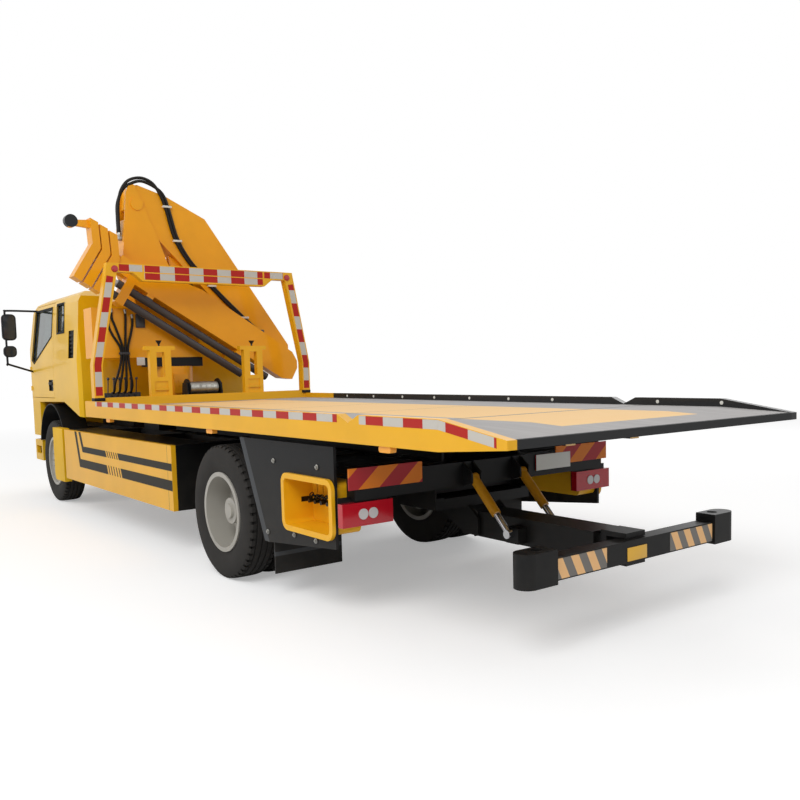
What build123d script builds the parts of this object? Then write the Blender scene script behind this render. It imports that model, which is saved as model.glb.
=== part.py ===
"""Slide-deck tow truck with a folding loader crane and a wheel-lift underlift.

Frame: +X forward, +Y left, +Z up. The origin is on the ground below the middle of the truck.
All sizes are millimetres.
"""
import os
from math import cos, pi, radians, sin

from build123d import *

os.makedirs("parts", exist_ok=True)

# Overall size
overall_length = 9580
deck_half_width = 1250
nose_x = overall_length / 2
tail_x = -overall_length / 2
front_overhang = 1185
rear_overhang = 3180
front_axle_x = nose_x - front_overhang
rear_axle_x = tail_x + rear_overhang
crane_x = front_axle_x - 1735
deck_front_x = crane_x - 370

# Clearances
seat_gap = 0.3
pin_gap = 0.08
slide_gap = 0.5
door_gap = 6

# Wheels and tyres
tyre_radius = 509.5
tyre_width = 254
rim_radius = 286
rim_flange_radius = 303
rim_wall = 16
flange_width = 12
bead_half_width = 104
disc_thickness = 18
front_wheel_y = 933
rear_outer_y = 1075
rear_inner_y = 785
dual_plane_y = (rear_outer_y + rear_inner_y) / 2
hub_radius = 105
front_spindle_radius = 42
rear_spindle_radius = 60
drum_radius = 205
hand_hole_count = 8
front_hole_circle = 188
front_hole_radius = 22
rear_hole_circle = 238
rear_hole_radius = 17
axle_z = tyre_radius

# Chassis frame
rail_outer_y = 430
rail_flange = 75
rail_web = 9
rail_bottom_z = 690
rail_height = 250
rail_top_z = rail_bottom_z + rail_height
rail_inner_y = rail_outer_y - rail_web
chassis_front_x = nose_x - 230
rear_face_x = tail_x + 1447
rear_beam_depth = 90
chassis_rear_x = rear_face_x + rear_beam_depth
cross_member_half = 40
tilt_ram_station = deck_front_x - 1200
cross_member_stations = (rear_face_x + 263, rear_face_x + 893, rear_axle_x + 660, tilt_ram_station,
                         deck_front_x, crane_x + 210, chassis_front_x - 80)

# Axles, springs and steering
axle_tube_radius = 75
diff_radius = 215
kingpin_y = 840
kingpin_radius = 22
eye_radius = 46
eye_half_height = 58
fork_thickness = 36
fork_gap = 0.5
spring_width = 72
spring_eye_radius = 32
spring_half_thickness = 30
front_spring_half = 720
front_spring_sag = 55
rear_spring_half = 800
rear_spring_sag = 22
spring_pad_half = 90

# Engine and drive shaft
engine_rear_x = front_axle_x - 855
engine_front_x = front_axle_x + 345
engine_half_width = 330
engine_bottom_z = 560
engine_top_z = 1180
prop_shaft_radius = 50

# Cab
cab_front_x = nose_x - 18
cab_rear_x = cab_front_x - 2372
cab_half_width = 1050
cab_roof_half_width = cab_half_width - 50
cab_roof_z = 2550
cab_wall = 60
cab_floor_z = 1262
cab_rear_foot_z = 1090
cab_skirt_z = 800
cab_belt_z = 1750
windscreen_base_z = 1560
windscreen_lean = 300
arch_front_x = cab_front_x - 587
arch_top_z = 1245
cab_pivot_x = cab_front_x - 92
cab_pivot_z = 850
cab_pivot_radius = 15
ear_radius = 28
ear_thickness = 22
rear_recess_z = 2056
rear_recess_half = 760
rear_recess_height = 660
rear_recess_depth = 32
vent_x = (cab_rear_x + 170, cab_rear_x + 390)
vent_z = (1775, 2095)
vent_floor_y = cab_half_width - 48
louvre_count = 6
louvre_pitch = 48
trim_gap = 8
grille_half = 620
grille_z = (930, 1250)
grille_depth = 20
grille_bar_count = 5
grille_bar_pitch = 60
glass_thickness = 6
glass_depth = 24

# Doors
door_front_x = cab_front_x - 212
door_rear_x = door_front_x - 1110
door_bottom_z = 1300
door_top_z = 2480
handle_x = (door_rear_x + 50, door_rear_x + 250)
handle_z = (1390, 1528)
handle_pocket = 22
door_hinge_radius = 7
door_knuckle_radius = 14
door_knuckle_height = 30
door_hinge_heights = (1420, 1680)

# Mirrors
mirror_x = door_front_x - 320
mirror_inner_y = cab_half_width + 230
mirror_outer_y = cab_half_width + 395
mirror_depth = 60
arm_radius = 14

# Bumper and front lamps
bumper_bottom_z = 470
bumper_top_z = 740
bumper_wall = 45
step_rear_x = cab_front_x - 522
step_front_x = cab_front_x - 272
step_bottom_z = 560
step_top_z = 660
step_depth = 150
lamp_height = 130
lamp_width = 260
lamp_depth = 40

# Front wheel arch and mudguards
fender_radius = 587
fender_centre_x = front_axle_x - 8
fender_centre_z = 645
fender_thickness = 12
fender_cut_z = 100
fender_inner_y = 780
fender_outer_y = cab_half_width + 22
guard_strip_rear_x = front_axle_x - 965
guard_strip_front_x = front_axle_x - 560
guard_strip_bottom_z = 345
guard_strip_top_z = 965

# Side tool boxes
skirt_front_x = front_axle_x - 1051
skirt_rear_x = rear_axle_x + 927
skirt_bottom_z = 400
skirt_top_z = 960
skirt_outer_y = deck_half_width - 50
skirt_depth = 380
panel_thickness = 20
bracket_half = 25

# Rear mudguards and chain baskets
guard_front_top_x = rear_axle_x - 386
guard_front_foot_x = rear_axle_x - 718
guard_top_z = 1100
guard_bottom_z = 400
guard_rear_bottom_z = 480
guard_rear_x = rear_face_x + 93
flap_x = rear_axle_x - 812
flap_thickness = 12
flap_inner_y = 641
flap_outer_y = skirt_outer_y - 22
flap_bottom_z = 179
guard_tube_z = 900
guard_tube_radius = 28
basket_front_x = rear_face_x + 683
basket_rear_x = rear_face_x + 118
basket_bottom_z = 555
basket_top_z = 875
basket_inner_y = skirt_outer_y - 200
basket_outer_y = skirt_outer_y + 25
basket_wall = 8
basket_lip = 28
basket_corner = 40
basket_peg_count = 6
basket_peg_pitch = 75
basket_peg_z = 712
basket_peg_radius = 13
basket_peg_end_y = basket_inner_y + 95

# Rear beam and lamps
rear_beam_bottom_z = 776
rear_beam_top_z = 936
rear_beam_half_width = skirt_outer_y - 85
tail_lamp_bottom_z = 620
tail_lamp_top_z = 763
tail_lamp_outer_y = skirt_outer_y + 7
tail_lamp_inner_y = tail_lamp_outer_y - 368
tail_lamp_depth = 50
tail_lens_stations = (tail_lamp_inner_y + 149, tail_lamp_inner_y + 221)
tail_lens_z = 692
tail_lens_radius = 33
tail_lens_depth = 6
plate_y = (-758, -407)
plate_z = (816, 926)
plate_proud = 13
board_inner_y = 612
board_outer_y = skirt_outer_y - 37
board_bottom_z = 843
board_top_z = 972
board_thickness = 10

# Underlift
lift_pivot_x = rear_face_x + 53
lift_pivot_z = 490
lift_pin_radius = 25
lift_housing_half_width = 120
lift_housing_bottom_z = 420
lift_housing_top_z = 590
lift_housing_rear_x = rear_face_x - 971
lift_wall = 16
lift_lug_thickness = 24
tongue_half_width = 85
crossbar_pivot_x = tail_x + 330
crossbar_pin_radius = 30
crossbar_rear_x = crossbar_pivot_x - 100
crossbar_front_x = crossbar_pivot_x + 60
crossbar_bottom_z = 447
crossbar_top_z = 570
crossbar_half_length = 700
crossbar_cap_outer_y = 860
fork_socket_radius = 32
ram_top = (rear_face_x - 52, 835)
ram_bottom = (rear_face_x - 377, 505)
lift_ram_y = 220
lift_ram_radius = 32
lift_ram_share = 0.66
lift_lug_gap = 34
lift_lug_plate = 12
lift_rod_radius = 22
lift_ram_pin_radius = 16

# Deck tilting frame
beam_outer_y = 330
beam_width = 90
beam_bottom_z = rail_top_z + 12
beam_depth = 148
beam_top_z = beam_bottom_z + beam_depth
beam_front_x = deck_front_x - 120
deck_pivot_x = rear_face_x + 173
deck_pivot_z = beam_bottom_z + beam_depth / 2
deck_pivot_radius = 35
pivot_plate_thickness = 20
tilt_cross_half = 35
tilt_head_station = tilt_ram_station - 1080
tilt_cross_stations = (deck_pivot_x + 470, rear_axle_x - 390, rear_axle_x + 210, tilt_head_station,
                       tilt_ram_station - 300, tilt_ram_station + 400, beam_front_x - 35)

# Deck
deck_fold_x = tail_x + 490
deck_rail_top_z = 1304
deck_rail_bottom_z = 1141
deck_rail_width = 60
notch_front_x = tail_x + 1406
notch_middle_x = tail_x + 1293
notch_rear_x = tail_x + 1188
notch_bottom_z = 1256
side_lamp_stations = (deck_front_x - 687, rear_axle_x + 40, tail_x + 956)
side_lamp_height = 35
deck_floor_z = 1250
deck_floor_thickness = 12
deck_bearer_half = 30
deck_bearer_pitch = 480
deck_bearer_count = 12
tail_edge_z = 1223
tail_edge_thickness = 45
header_x = deck_front_x - 270
header_top_z = 1335
header_depth = 110

# Guard arch
arch_x = deck_front_x - 290
arch_tube = 96
arch_knee_z = 1670
arch_corner_y = deck_half_width - 192
arch_roof_z = 2700
arch_end_depth = 90
arch_mid_depth = 170
arch_mid_half = 700

# Ladder stands
stand_y = 540
stand_width = 230
stand_post = 72
stand_top_z = 1860
stand_slot_bottom_z = 1532
stand_slot_top_z = 1795
stand_cap_length = 325
stand_cap_thickness = 42
stand_depth = 70

# Winch
winch_x = deck_front_x - 105
winch_z = 1400
winch_drum_radius = 60
winch_flange_radius = 105
winch_half_length = 190
winch_plate = 18
winch_shaft_radius = 20

# Deck tilt rams
tilt_ram_y = 180
tilt_ram_base = (tilt_ram_station - 100, 830)
tilt_ram_head = (tilt_ram_station - 870, 1000)
tilt_barrel_length = 600
tilt_ram_radius = 40
tilt_rod_radius = 24
tilt_pin_radius = 18
ram_eye_half = 26
ram_lug_thickness = 14

# Crane base and column
slew_y = 150
slew_radius = 245
slew_bottom_z = 1650
slew_ring_radius = 340
slew_ring_half = 160
shelf_bottom_z = 1130
shelf_top_z = 1185
valve_y = (560, 960)
valve_top_z = 1370
valve_half = 75
lever_count = 6
lever_pitch = 62
slew_top_z = 1752
column_half_depth = 135
apex_y = 520
apex_z = 3430
apex_pin_radius = 45
pin_head = 12
tank_outer_y = 1068
tank_top_z = 2290

# Crane booms
boom_half_depth = 108
knuckle_y = -1180
knuckle_z = 1720
knuckle_pin_radius = 40
outer_boom_x = 1620
outer_boom_half_depth = 85
outer_boom_tilt = 31.2
stage_axis_y = 677
stage_axis_z = 2680
head_thickness = 95
head_pitch = 112
first_head_along = 155
extension_ram_x = 1580
extension_ram_radius = 44
extension_rod_radius = 28
fold_ram_base = (86, 2753)
fold_ram_eye = (-700, 1950)
fold_barrel_length = 620
fold_ram_radius = 48
fold_rod_radius = 28
fold_pin_radius = 18


def block(x0, x1, y0, y1, z0, z1, mode=Mode.ADD):
    """Add a straight bar or plate between two corners."""
    with Locations(((x0 + x1) / 2, (y0 + y1) / 2, (z0 + z1) / 2)):
        Box(abs(x1 - x0), abs(y1 - y0), abs(z1 - z0), mode=mode)


def side_profile(points, y0, y1, mode=Mode.ADD):
    """Extrude an outline of (x, z) points across the truck from y0 to y1."""
    plane = Plane(origin=(0, y1, 0), x_dir=(1, 0, 0), z_dir=(0, -1, 0))
    with BuildSketch(plane, mode=Mode.PRIVATE) as outline:
        with BuildLine():
            Polyline(*points, close=True)
        make_face()
    extrude(outline.sketch, amount=y1 - y0, mode=mode)


def cross_profile(points, x0, x1, mode=Mode.ADD):
    """Extrude an outline of (y, z) points along the truck from x0 to x1."""
    plane = Plane(origin=(x0, 0, 0), x_dir=(0, 1, 0), z_dir=(1, 0, 0))
    with BuildSketch(plane, mode=Mode.PRIVATE) as outline:
        with BuildLine():
            Polyline(*points, close=True)
        make_face()
    extrude(outline.sketch, amount=x1 - x0, mode=mode)


def rounded_side(x0, x1, z0, z1, y0, y1, radius, mode=Mode.ADD):
    """Bar across the truck whose side view is a rectangle with rounded corners."""
    middle = ((x0 + x1) / 2, max(y0, y1), (z0 + z1) / 2)
    plane = Plane(origin=middle, x_dir=(1, 0, 0), z_dir=(0, -1, 0))
    with BuildSketch(plane, mode=Mode.PRIVATE) as outline:
        RectangleRounded(abs(x1 - x0), abs(z1 - z0), radius)
    extrude(outline.sketch, amount=abs(y1 - y0), mode=mode)


def rod(start, end, radius, mode=Mode.ADD):
    """Add a round bar between two points."""
    path = Vector(*end) - Vector(*start)
    with BuildSketch(Plane(origin=start, z_dir=path), mode=Mode.PRIVATE) as outline:
        Circle(radius)
    extrude(outline.sketch, amount=path.length, mode=mode)


def turned(centre, points, mode=Mode.ADD):
    """Revolve an outline of (across, radius) points about the axle line through centre."""
    plane = Plane(origin=centre, x_dir=(0, 1, 0), z_dir=(1, 0, 0))
    with BuildSketch(plane, mode=Mode.PRIVATE) as outline:
        with BuildLine():
            Polyline(*points, close=True)
        make_face()
    revolve(outline.sketch, axis=Axis(centre, (0, 1, 0)), mode=mode)


def keep(builder, name):
    """Name a finished sub-part and write its file."""
    builder.part.label = name
    export_step(builder.part, f"parts/{name}.step")


def tyre(x, y):
    """Tyre outline from bead to crown, turned about the wheel's axle line."""
    half = tyre_width / 2
    bore = rim_radius + seat_gap
    bead_top = rim_flange_radius + 2
    half_outline = [
        (bead_half_width, bore),
        (bead_half_width, bead_top),
        (half, 0.78 * tyre_radius),
        (half, 0.87 * tyre_radius),
        (half - 14, 0.975 * tyre_radius),
        (half - 40, tyre_radius),
    ]
    mirrored = [(-across, radius) for across, radius in reversed(half_outline)]
    turned((x, y, axle_z), half_outline + mirrored)


def rim_barrel(x, y):
    """Open rim barrel with a flange at each side of the tyre."""
    half = bead_half_width + 1 + flange_width
    inner = rim_radius - rim_wall
    bead = bead_half_width + 1
    outline = [
        (-half, inner),
        (half, inner),
        (half, rim_flange_radius),
        (bead, rim_flange_radius),
        (bead, rim_radius),
        (-bead, rim_radius),
        (-bead, rim_flange_radius),
        (-half, rim_flange_radius),
    ]
    turned((x, y, axle_z), outline)


def hand_holes(centre, circle, radius, near, far):
    """Cut the round hand holes of a wheel disc between two distances along the axle line."""
    for index in range(hand_hole_count):
        turn = 2 * pi * (index + 0.5) / hand_hole_count
        x = centre[0] + circle * cos(turn)
        z = centre[2] + circle * sin(turn)
        rod((x, centre[1] + near, z), (x, centre[1] + far, z), radius, mode=Mode.SUBTRACT)


# Chassis frame: two channel rails with cross members, brackets for the deck pivot and cab pivot
rail_section = [
    (rail_outer_y, rail_bottom_z),
    (rail_outer_y, rail_top_z),
    (rail_outer_y - rail_flange, rail_top_z),
    (rail_outer_y - rail_flange, rail_top_z - rail_web),
    (rail_inner_y, rail_top_z - rail_web),
    (rail_inner_y, rail_bottom_z + rail_web),
    (rail_outer_y - rail_flange, rail_bottom_z + rail_web),
    (rail_outer_y - rail_flange, rail_bottom_z),
]
pivot_plate_y = beam_outer_y + 8
with BuildPart() as chassis_frame:
    for side in (1, -1):
        cross_profile([(side * y, z) for y, z in rail_section], chassis_rear_x, chassis_front_x)
        # Plate that carries the deck pivot beside the tilting beam
        plate_y0 = side * pivot_plate_y
        plate_y1 = side * (pivot_plate_y + pivot_plate_thickness)
        block(deck_pivot_x - 70, deck_pivot_x + 70, plate_y0, plate_y1,
              rail_top_z - 4 * rail_web, deck_pivot_z + 55)
        block(deck_pivot_x - 70, deck_pivot_x + 70, plate_y0, side * rail_outer_y,
              rail_top_z - rail_web, rail_top_z)
        # Lug that carries the cab pivot ahead of the rail end
        lug_y0 = side * rail_inner_y
        lug_y1 = side * (rail_inner_y - ear_thickness)
        block(chassis_front_x - 200, cab_pivot_x, lug_y0, lug_y1,
              cab_pivot_z - ear_radius, cab_pivot_z + ear_radius)
        rod((cab_pivot_x, lug_y0, cab_pivot_z), (cab_pivot_x, lug_y1, cab_pivot_z), ear_radius)
        pin_end = side * (rail_outer_y + ear_thickness + 10)
        rod((cab_pivot_x, lug_y1, cab_pivot_z), (cab_pivot_x, pin_end, cab_pivot_z),
            cab_pivot_radius)
    for station in cross_member_stations:
        block(station - cross_member_half, station + cross_member_half,
              -rail_inner_y, rail_inner_y, rail_bottom_z + 2 * rail_web, rail_top_z - 4 * rail_web)
    pin_half = pivot_plate_y + pivot_plate_thickness
    rod((deck_pivot_x, -pin_half, deck_pivot_z), (deck_pivot_x, pin_half, deck_pivot_z),
        deck_pivot_radius)
    # Base lugs and pins of the deck tilt rams behind a cross member
    base_x, base_z = tilt_ram_base
    for side in (1, -1):
        for lug_y in (side * (tilt_ram_y - ram_eye_half - 1 - ram_lug_thickness),
                      side * (tilt_ram_y + ram_eye_half + 1)):
            side_profile([(tilt_ram_station - cross_member_half, base_z - 60),
                          (tilt_ram_station - cross_member_half, base_z + 60),
                          (base_x - 30, base_z + 34), (base_x - 30, base_z - 34)],
                         min(lug_y, lug_y + side * ram_lug_thickness),
                         max(lug_y, lug_y + side * ram_lug_thickness))
        reach = ram_eye_half + 1 + ram_lug_thickness
        rod((base_x, side * (tilt_ram_y - reach), base_z),
            (base_x, side * (tilt_ram_y + reach), base_z), tilt_pin_radius)
keep(chassis_frame, "chassis_frame")

# Leaf springs under the rails, eyes against the lower flange
spring_eye_z = rail_bottom_z - spring_eye_radius - seat_gap
spring_inner_y = rail_outer_y - spring_width
# axle x, half length, sag
spring_table = (
    (front_axle_x, front_spring_half, front_spring_sag),
    (rear_axle_x, rear_spring_half, rear_spring_sag),
)
with BuildPart() as leaf_springs:
    for axle_x, half, sag in spring_table:
        for side in (1, -1):
            y_high = max(side * spring_inner_y, side * rail_outer_y)
            plane = Plane(origin=(0, y_high, 0), x_dir=(1, 0, 0), z_dir=(0, -1, 0))
            top_z = spring_eye_z + spring_half_thickness / 2
            low_z = spring_eye_z - spring_half_thickness / 2
            with BuildSketch(plane, mode=Mode.PRIVATE) as leaf:
                with BuildLine():
                    top_arc = ThreePointArc((axle_x - half, top_z), (axle_x, top_z - sag),
                                            (axle_x + half, top_z))
                    low_middle = (axle_x, low_z - sag - spring_half_thickness)
                    low_arc = ThreePointArc((axle_x + half, low_z), low_middle,
                                            (axle_x - half, low_z))
                    Line(top_arc @ 1, low_arc @ 0)
                    Line(low_arc @ 1, top_arc @ 0)
                make_face()
                with Locations((axle_x - half, spring_eye_z), (axle_x + half, spring_eye_z)):
                    Circle(spring_eye_radius)
            extrude(leaf.sketch, amount=spring_width)
keep(leaf_springs, "leaf_springs")

# Front axle beam with an eye and a kingpin at each end
front_spring_seat_z = (spring_eye_z - spring_half_thickness * 1.5 - front_spring_sag) - seat_gap
pin_reach = eye_half_height + fork_gap + fork_thickness
with BuildPart() as front_axle:
    beam_outline = [
        (-kingpin_y, axle_z - 30),
        (-650, axle_z - 45),
        (-560, 395),
        (560, 395),
        (650, axle_z - 45),
        (kingpin_y, axle_z - 30),
        (kingpin_y, axle_z + 30),
        (620, axle_z + 32),
        (520, 500),
        (-520, 500),
        (-620, axle_z + 32),
        (-kingpin_y, axle_z + 30),
    ]
    cross_profile(beam_outline, front_axle_x - 40, front_axle_x + 40)
    for side in (1, -1):
        y0 = side * spring_inner_y
        y1 = side * rail_outer_y
        block(front_axle_x - spring_pad_half, front_axle_x + spring_pad_half, y0, y1,
              450, front_spring_seat_z)
        y = side * kingpin_y
        rod((front_axle_x, y, axle_z - eye_half_height), (front_axle_x, y, axle_z + eye_half_height),
            eye_radius)
        rod((front_axle_x, y, axle_z - pin_reach), (front_axle_x, y, axle_z + pin_reach),
            kingpin_radius)
keep(front_axle, "front_axle")

# Steering knuckles, front tyres and front rims
knuckle_back_y = kingpin_y + eye_radius + 8
knuckle_face_y = knuckle_back_y + 26
for name, side in (("left", 1), ("right", -1)):
    with BuildPart() as knuckle:
        y = side * kingpin_y
        for level in (1, -1):
            near = axle_z + level * (eye_half_height + fork_gap)
            far = axle_z + level * (eye_half_height + fork_gap + fork_thickness)
            rod((front_axle_x, y, near), (front_axle_x, y, far), eye_radius)
            block(front_axle_x - 38, front_axle_x + 38, y, side * knuckle_face_y, near, far)
        reach = eye_half_height + fork_gap + fork_thickness
        block(front_axle_x - 60, front_axle_x + 60, side * knuckle_back_y, side * knuckle_face_y,
              axle_z - reach, axle_z + reach)
        rod((front_axle_x, side * knuckle_face_y, axle_z),
            (front_axle_x, side * (front_wheel_y + 60), axle_z), front_spindle_radius)
        rod((front_axle_x, y, axle_z - pin_reach - 1), (front_axle_x, y, axle_z + pin_reach + 1),
            kingpin_radius + pin_gap, mode=Mode.SUBTRACT)
    keep(knuckle, f"knuckle_{name}")

    with BuildPart() as front_tyre:
        tyre(front_axle_x, side * front_wheel_y)
    keep(front_tyre, f"front_tyre_{name}")

    with BuildPart() as front_rim:
        rim_barrel(front_axle_x, side * front_wheel_y)
        centre = (front_axle_x, side * front_wheel_y, axle_z)
        bore = front_spindle_radius + pin_gap
        # across, radius: dished disc, hub and hub cap
        disc_outline = [
            (-12, bore),
            (-12, 90),
            (30, 95),
            (38, 150),
            (70, 225),
            (70, rim_radius - rim_wall),
            (70 + disc_thickness, rim_radius - rim_wall),
            (70 + disc_thickness, 220),
            (58, 140),
            (60, hub_radius),
            (104, hub_radius - 12),
            (112, 60),
            (112, 0),
            (63, 0),
            (63, bore),
        ]
        turned(centre, [(side * across, radius) for across, radius in disc_outline])
        hand_holes(centre, front_hole_circle, front_hole_radius, side * 25, side * 100)
    keep(front_rim, f"front_rim_{name}")

# Rear axle: tube with the differential housing, spring saddles and spindles
rear_spring_seat_z = (spring_eye_z - spring_half_thickness * 1.5 - rear_spring_sag) - seat_gap
drum_inner_y = 690
spindle_end_y = rear_outer_y
with BuildPart() as rear_axle:
    rod((rear_axle_x, -drum_inner_y + 2, axle_z), (rear_axle_x, drum_inner_y - 2, axle_z),
        axle_tube_radius)
    rod((rear_axle_x, -spindle_end_y, axle_z), (rear_axle_x, spindle_end_y, axle_z),
        rear_spindle_radius)
    housing = [
        (-150, 0), (-150, axle_tube_radius), (-90, 170), (-40, diff_radius),
        (60, diff_radius), (110, 170), (170, axle_tube_radius), (170, 0),
    ]
    turned((rear_axle_x, 0, axle_z), housing)
    rod((rear_axle_x, 0, axle_z), (rear_axle_x + 330, 0, axle_z + 30), 95)
    for side in (1, -1):
        block(rear_axle_x - spring_pad_half, rear_axle_x + spring_pad_half,
              side * spring_inner_y, side * rail_outer_y, axle_z, rear_spring_seat_z)
keep(rear_axle, "rear_axle")

# Rear twin wheels: two dished rims bolted face to face, brake drum and hub, and two tyres
for name, side in (("left", 1), ("right", -1)):
    with BuildPart() as rear_tyres:
        tyre(rear_axle_x, side * rear_outer_y)
        tyre(rear_axle_x, side * rear_inner_y)
    keep(rear_tyres, f"rear_tyres_{name}")

    with BuildPart() as rear_rims:
        centre = (rear_axle_x, side * dual_plane_y, axle_z)
        inner = rim_radius - rim_wall
        offset = rear_outer_y - dual_plane_y
        barrel_edge = offset - bead_half_width
        # across, radius, measured from the plane where the two discs meet
        disc_outline = [
            (0, 60), (0, 228), (barrel_edge - 8, inner - 4), (barrel_edge - 8, rim_radius),
            (barrel_edge + 22, rim_radius), (barrel_edge + 14, inner - 12),
            (disc_thickness, 215), (disc_thickness, 60),
        ]
        for face in (1, -1):
            rim_barrel(rear_axle_x, side * (dual_plane_y + face * offset))
            turned(centre, [(face * across, radius) for across, radius in disc_outline])
        drum = dual_plane_y - drum_inner_y
        hub_outline = [
            (-drum, 0), (-drum, drum_radius), (0, drum_radius), (0, hub_radius + 20),
            (100, hub_radius), (185, hub_radius - 6), (185, 60), (205, 55), (205, 0),
        ]
        turned(centre, [(side * across, radius) for across, radius in hub_outline])
        rod((rear_axle_x, side * (drum_inner_y - 5), axle_z),
            (rear_axle_x, side * (spindle_end_y + 2), axle_z),
            rear_spindle_radius + pin_gap, mode=Mode.SUBTRACT)
        hand_holes(centre, rear_hole_circle, rear_hole_radius, side * 8, side * 60)
    keep(rear_rims, f"rear_rims_{name}")

# Engine and gearbox as one heavy block, resting on lugs between the rails
with BuildPart() as engine:
    block(engine_rear_x, engine_front_x, -engine_half_width, engine_half_width,
          engine_bottom_z, engine_top_z)
    rod((engine_rear_x + 10, 0, 760), (engine_rear_x - 560, 0, 740), 180)
    for mount_x in (engine_rear_x + 150, engine_front_x - 150):
        block(mount_x - 40, mount_x + 40, -rail_inner_y, rail_inner_y, 780, 840)
    # Drive shaft from gearbox to rear axle
    shaft_start = (engine_rear_x - 540, 0, 640)
    shaft_end = (rear_axle_x + 335, 0, axle_z + 31)
    rod(shaft_start, shaft_end, prop_shaft_radius)
keep(engine, "engine_and_shaft")


def cab_form(inset, floor_z=None):
    """Closed cab body, drawn inward by inset from the outer skin."""
    base = cab_skirt_z - 20 if floor_z is None else floor_z
    top = cab_roof_z - inset
    front = cab_front_x - inset
    rear = cab_rear_x + inset
    half = cab_half_width - inset
    roof_half = cab_roof_half_width - inset
    with BuildPart(mode=Mode.PRIVATE) as form:
        side_outline = [
            (rear, base),
            (front, base),
            (front, windscreen_base_z - 220),
            (front - 30, windscreen_base_z),
            (front - windscreen_lean, cab_roof_z - 160),
            (front - windscreen_lean - 110, top - 26),
            (front - windscreen_lean - 330, top),
            (rear + 190, top),
            (rear + 22, top - 70),
            (rear, cab_belt_z),
        ]
        side_profile(side_outline, -half, half)
        cross_outline = [
            (-half, base), (half, base), (half, cab_belt_z), (roof_half, cab_roof_z - 130),
            (roof_half - 40, cab_roof_z - 50 - inset / 2), (roof_half - 130, top),
            (-roof_half + 130, top), (-roof_half + 40, cab_roof_z - 50 - inset / 2),
            (-roof_half, cab_roof_z - 130), (-half, cab_belt_z),
        ]
        cross_profile(cross_outline, rear, front, mode=Mode.INTERSECT)
        corner = 230 - inset
        with BuildSketch(Plane.XY.offset(base), mode=Mode.PRIVATE) as plan:
            with BuildLine():
                Polyline((rear, -half + 40), (rear + 40, -half), (front - corner, -half))
                RadiusArc((front - corner, -half), (front, -half + corner), -corner)
                Line((front, -half + corner), (front, half - corner))
                RadiusArc((front, half - corner), (front - corner, half), -corner)
                Polyline((front - corner, half), (rear + 40, half), (rear, half - 40),
                         (rear, -half + 40))
            make_face()
        extrude(plan.sketch, amount=cab_roof_z, mode=Mode.INTERSECT)
    return form.part


# Cab openings, as (x, z) or (y, z) outlines
door_outline = [
    (door_rear_x, door_bottom_z),
    (door_front_x, door_bottom_z),
    (door_front_x, cab_belt_z),
    (door_front_x - 190, door_top_z - 40),
    (door_front_x - 250, door_top_z),
    (door_rear_x, door_top_z),
]
door_window = [
    (door_rear_x + 90, 2070),
    (door_front_x - 190, 1752),
    (door_front_x - 78, 1800),
    (door_front_x - 240, door_top_z - 70),
    (door_rear_x + 60, door_top_z - 70),
]
quarter_window = [(cab_rear_x + 575, 2095), (cab_rear_x + 885, 2095), (cab_rear_x + 885, 2430),
                  (cab_rear_x + 600, 2430)]
windscreen_outline = [(-900, 1640), (900, 1640), (850, 2360), (-850, 2360)]
cab_underside = [
    (cab_rear_x - 10, cab_skirt_z - 40),
    (arch_front_x, cab_skirt_z - 40),
    (arch_front_x, arch_top_z),
    (cab_rear_x + 640, cab_floor_z),
    (cab_rear_x - 10, cab_rear_foot_z),
]
cab_outer = cab_form(0)
cab_inner = cab_form(cab_wall, cab_floor_z + cab_wall)
glass_outer = cab_form(glass_depth)
glass_inner = cab_form(glass_depth + glass_thickness)
hinge_x = door_front_x - door_gap
hinge_y = cab_half_width


def shrunk(points, gap):
    """Draw an outline towards its middle so that it clears its opening by about gap."""
    middle_x = sum(x for x, z in points) / len(points)
    middle_z = sum(z for x, z in points) / len(points)
    result = []
    for x, z in points:
        x_step = gap if x < middle_x else -gap
        z_step = gap if z < middle_z else -gap
        result.append((x + x_step, z + z_step))
    return result


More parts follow.
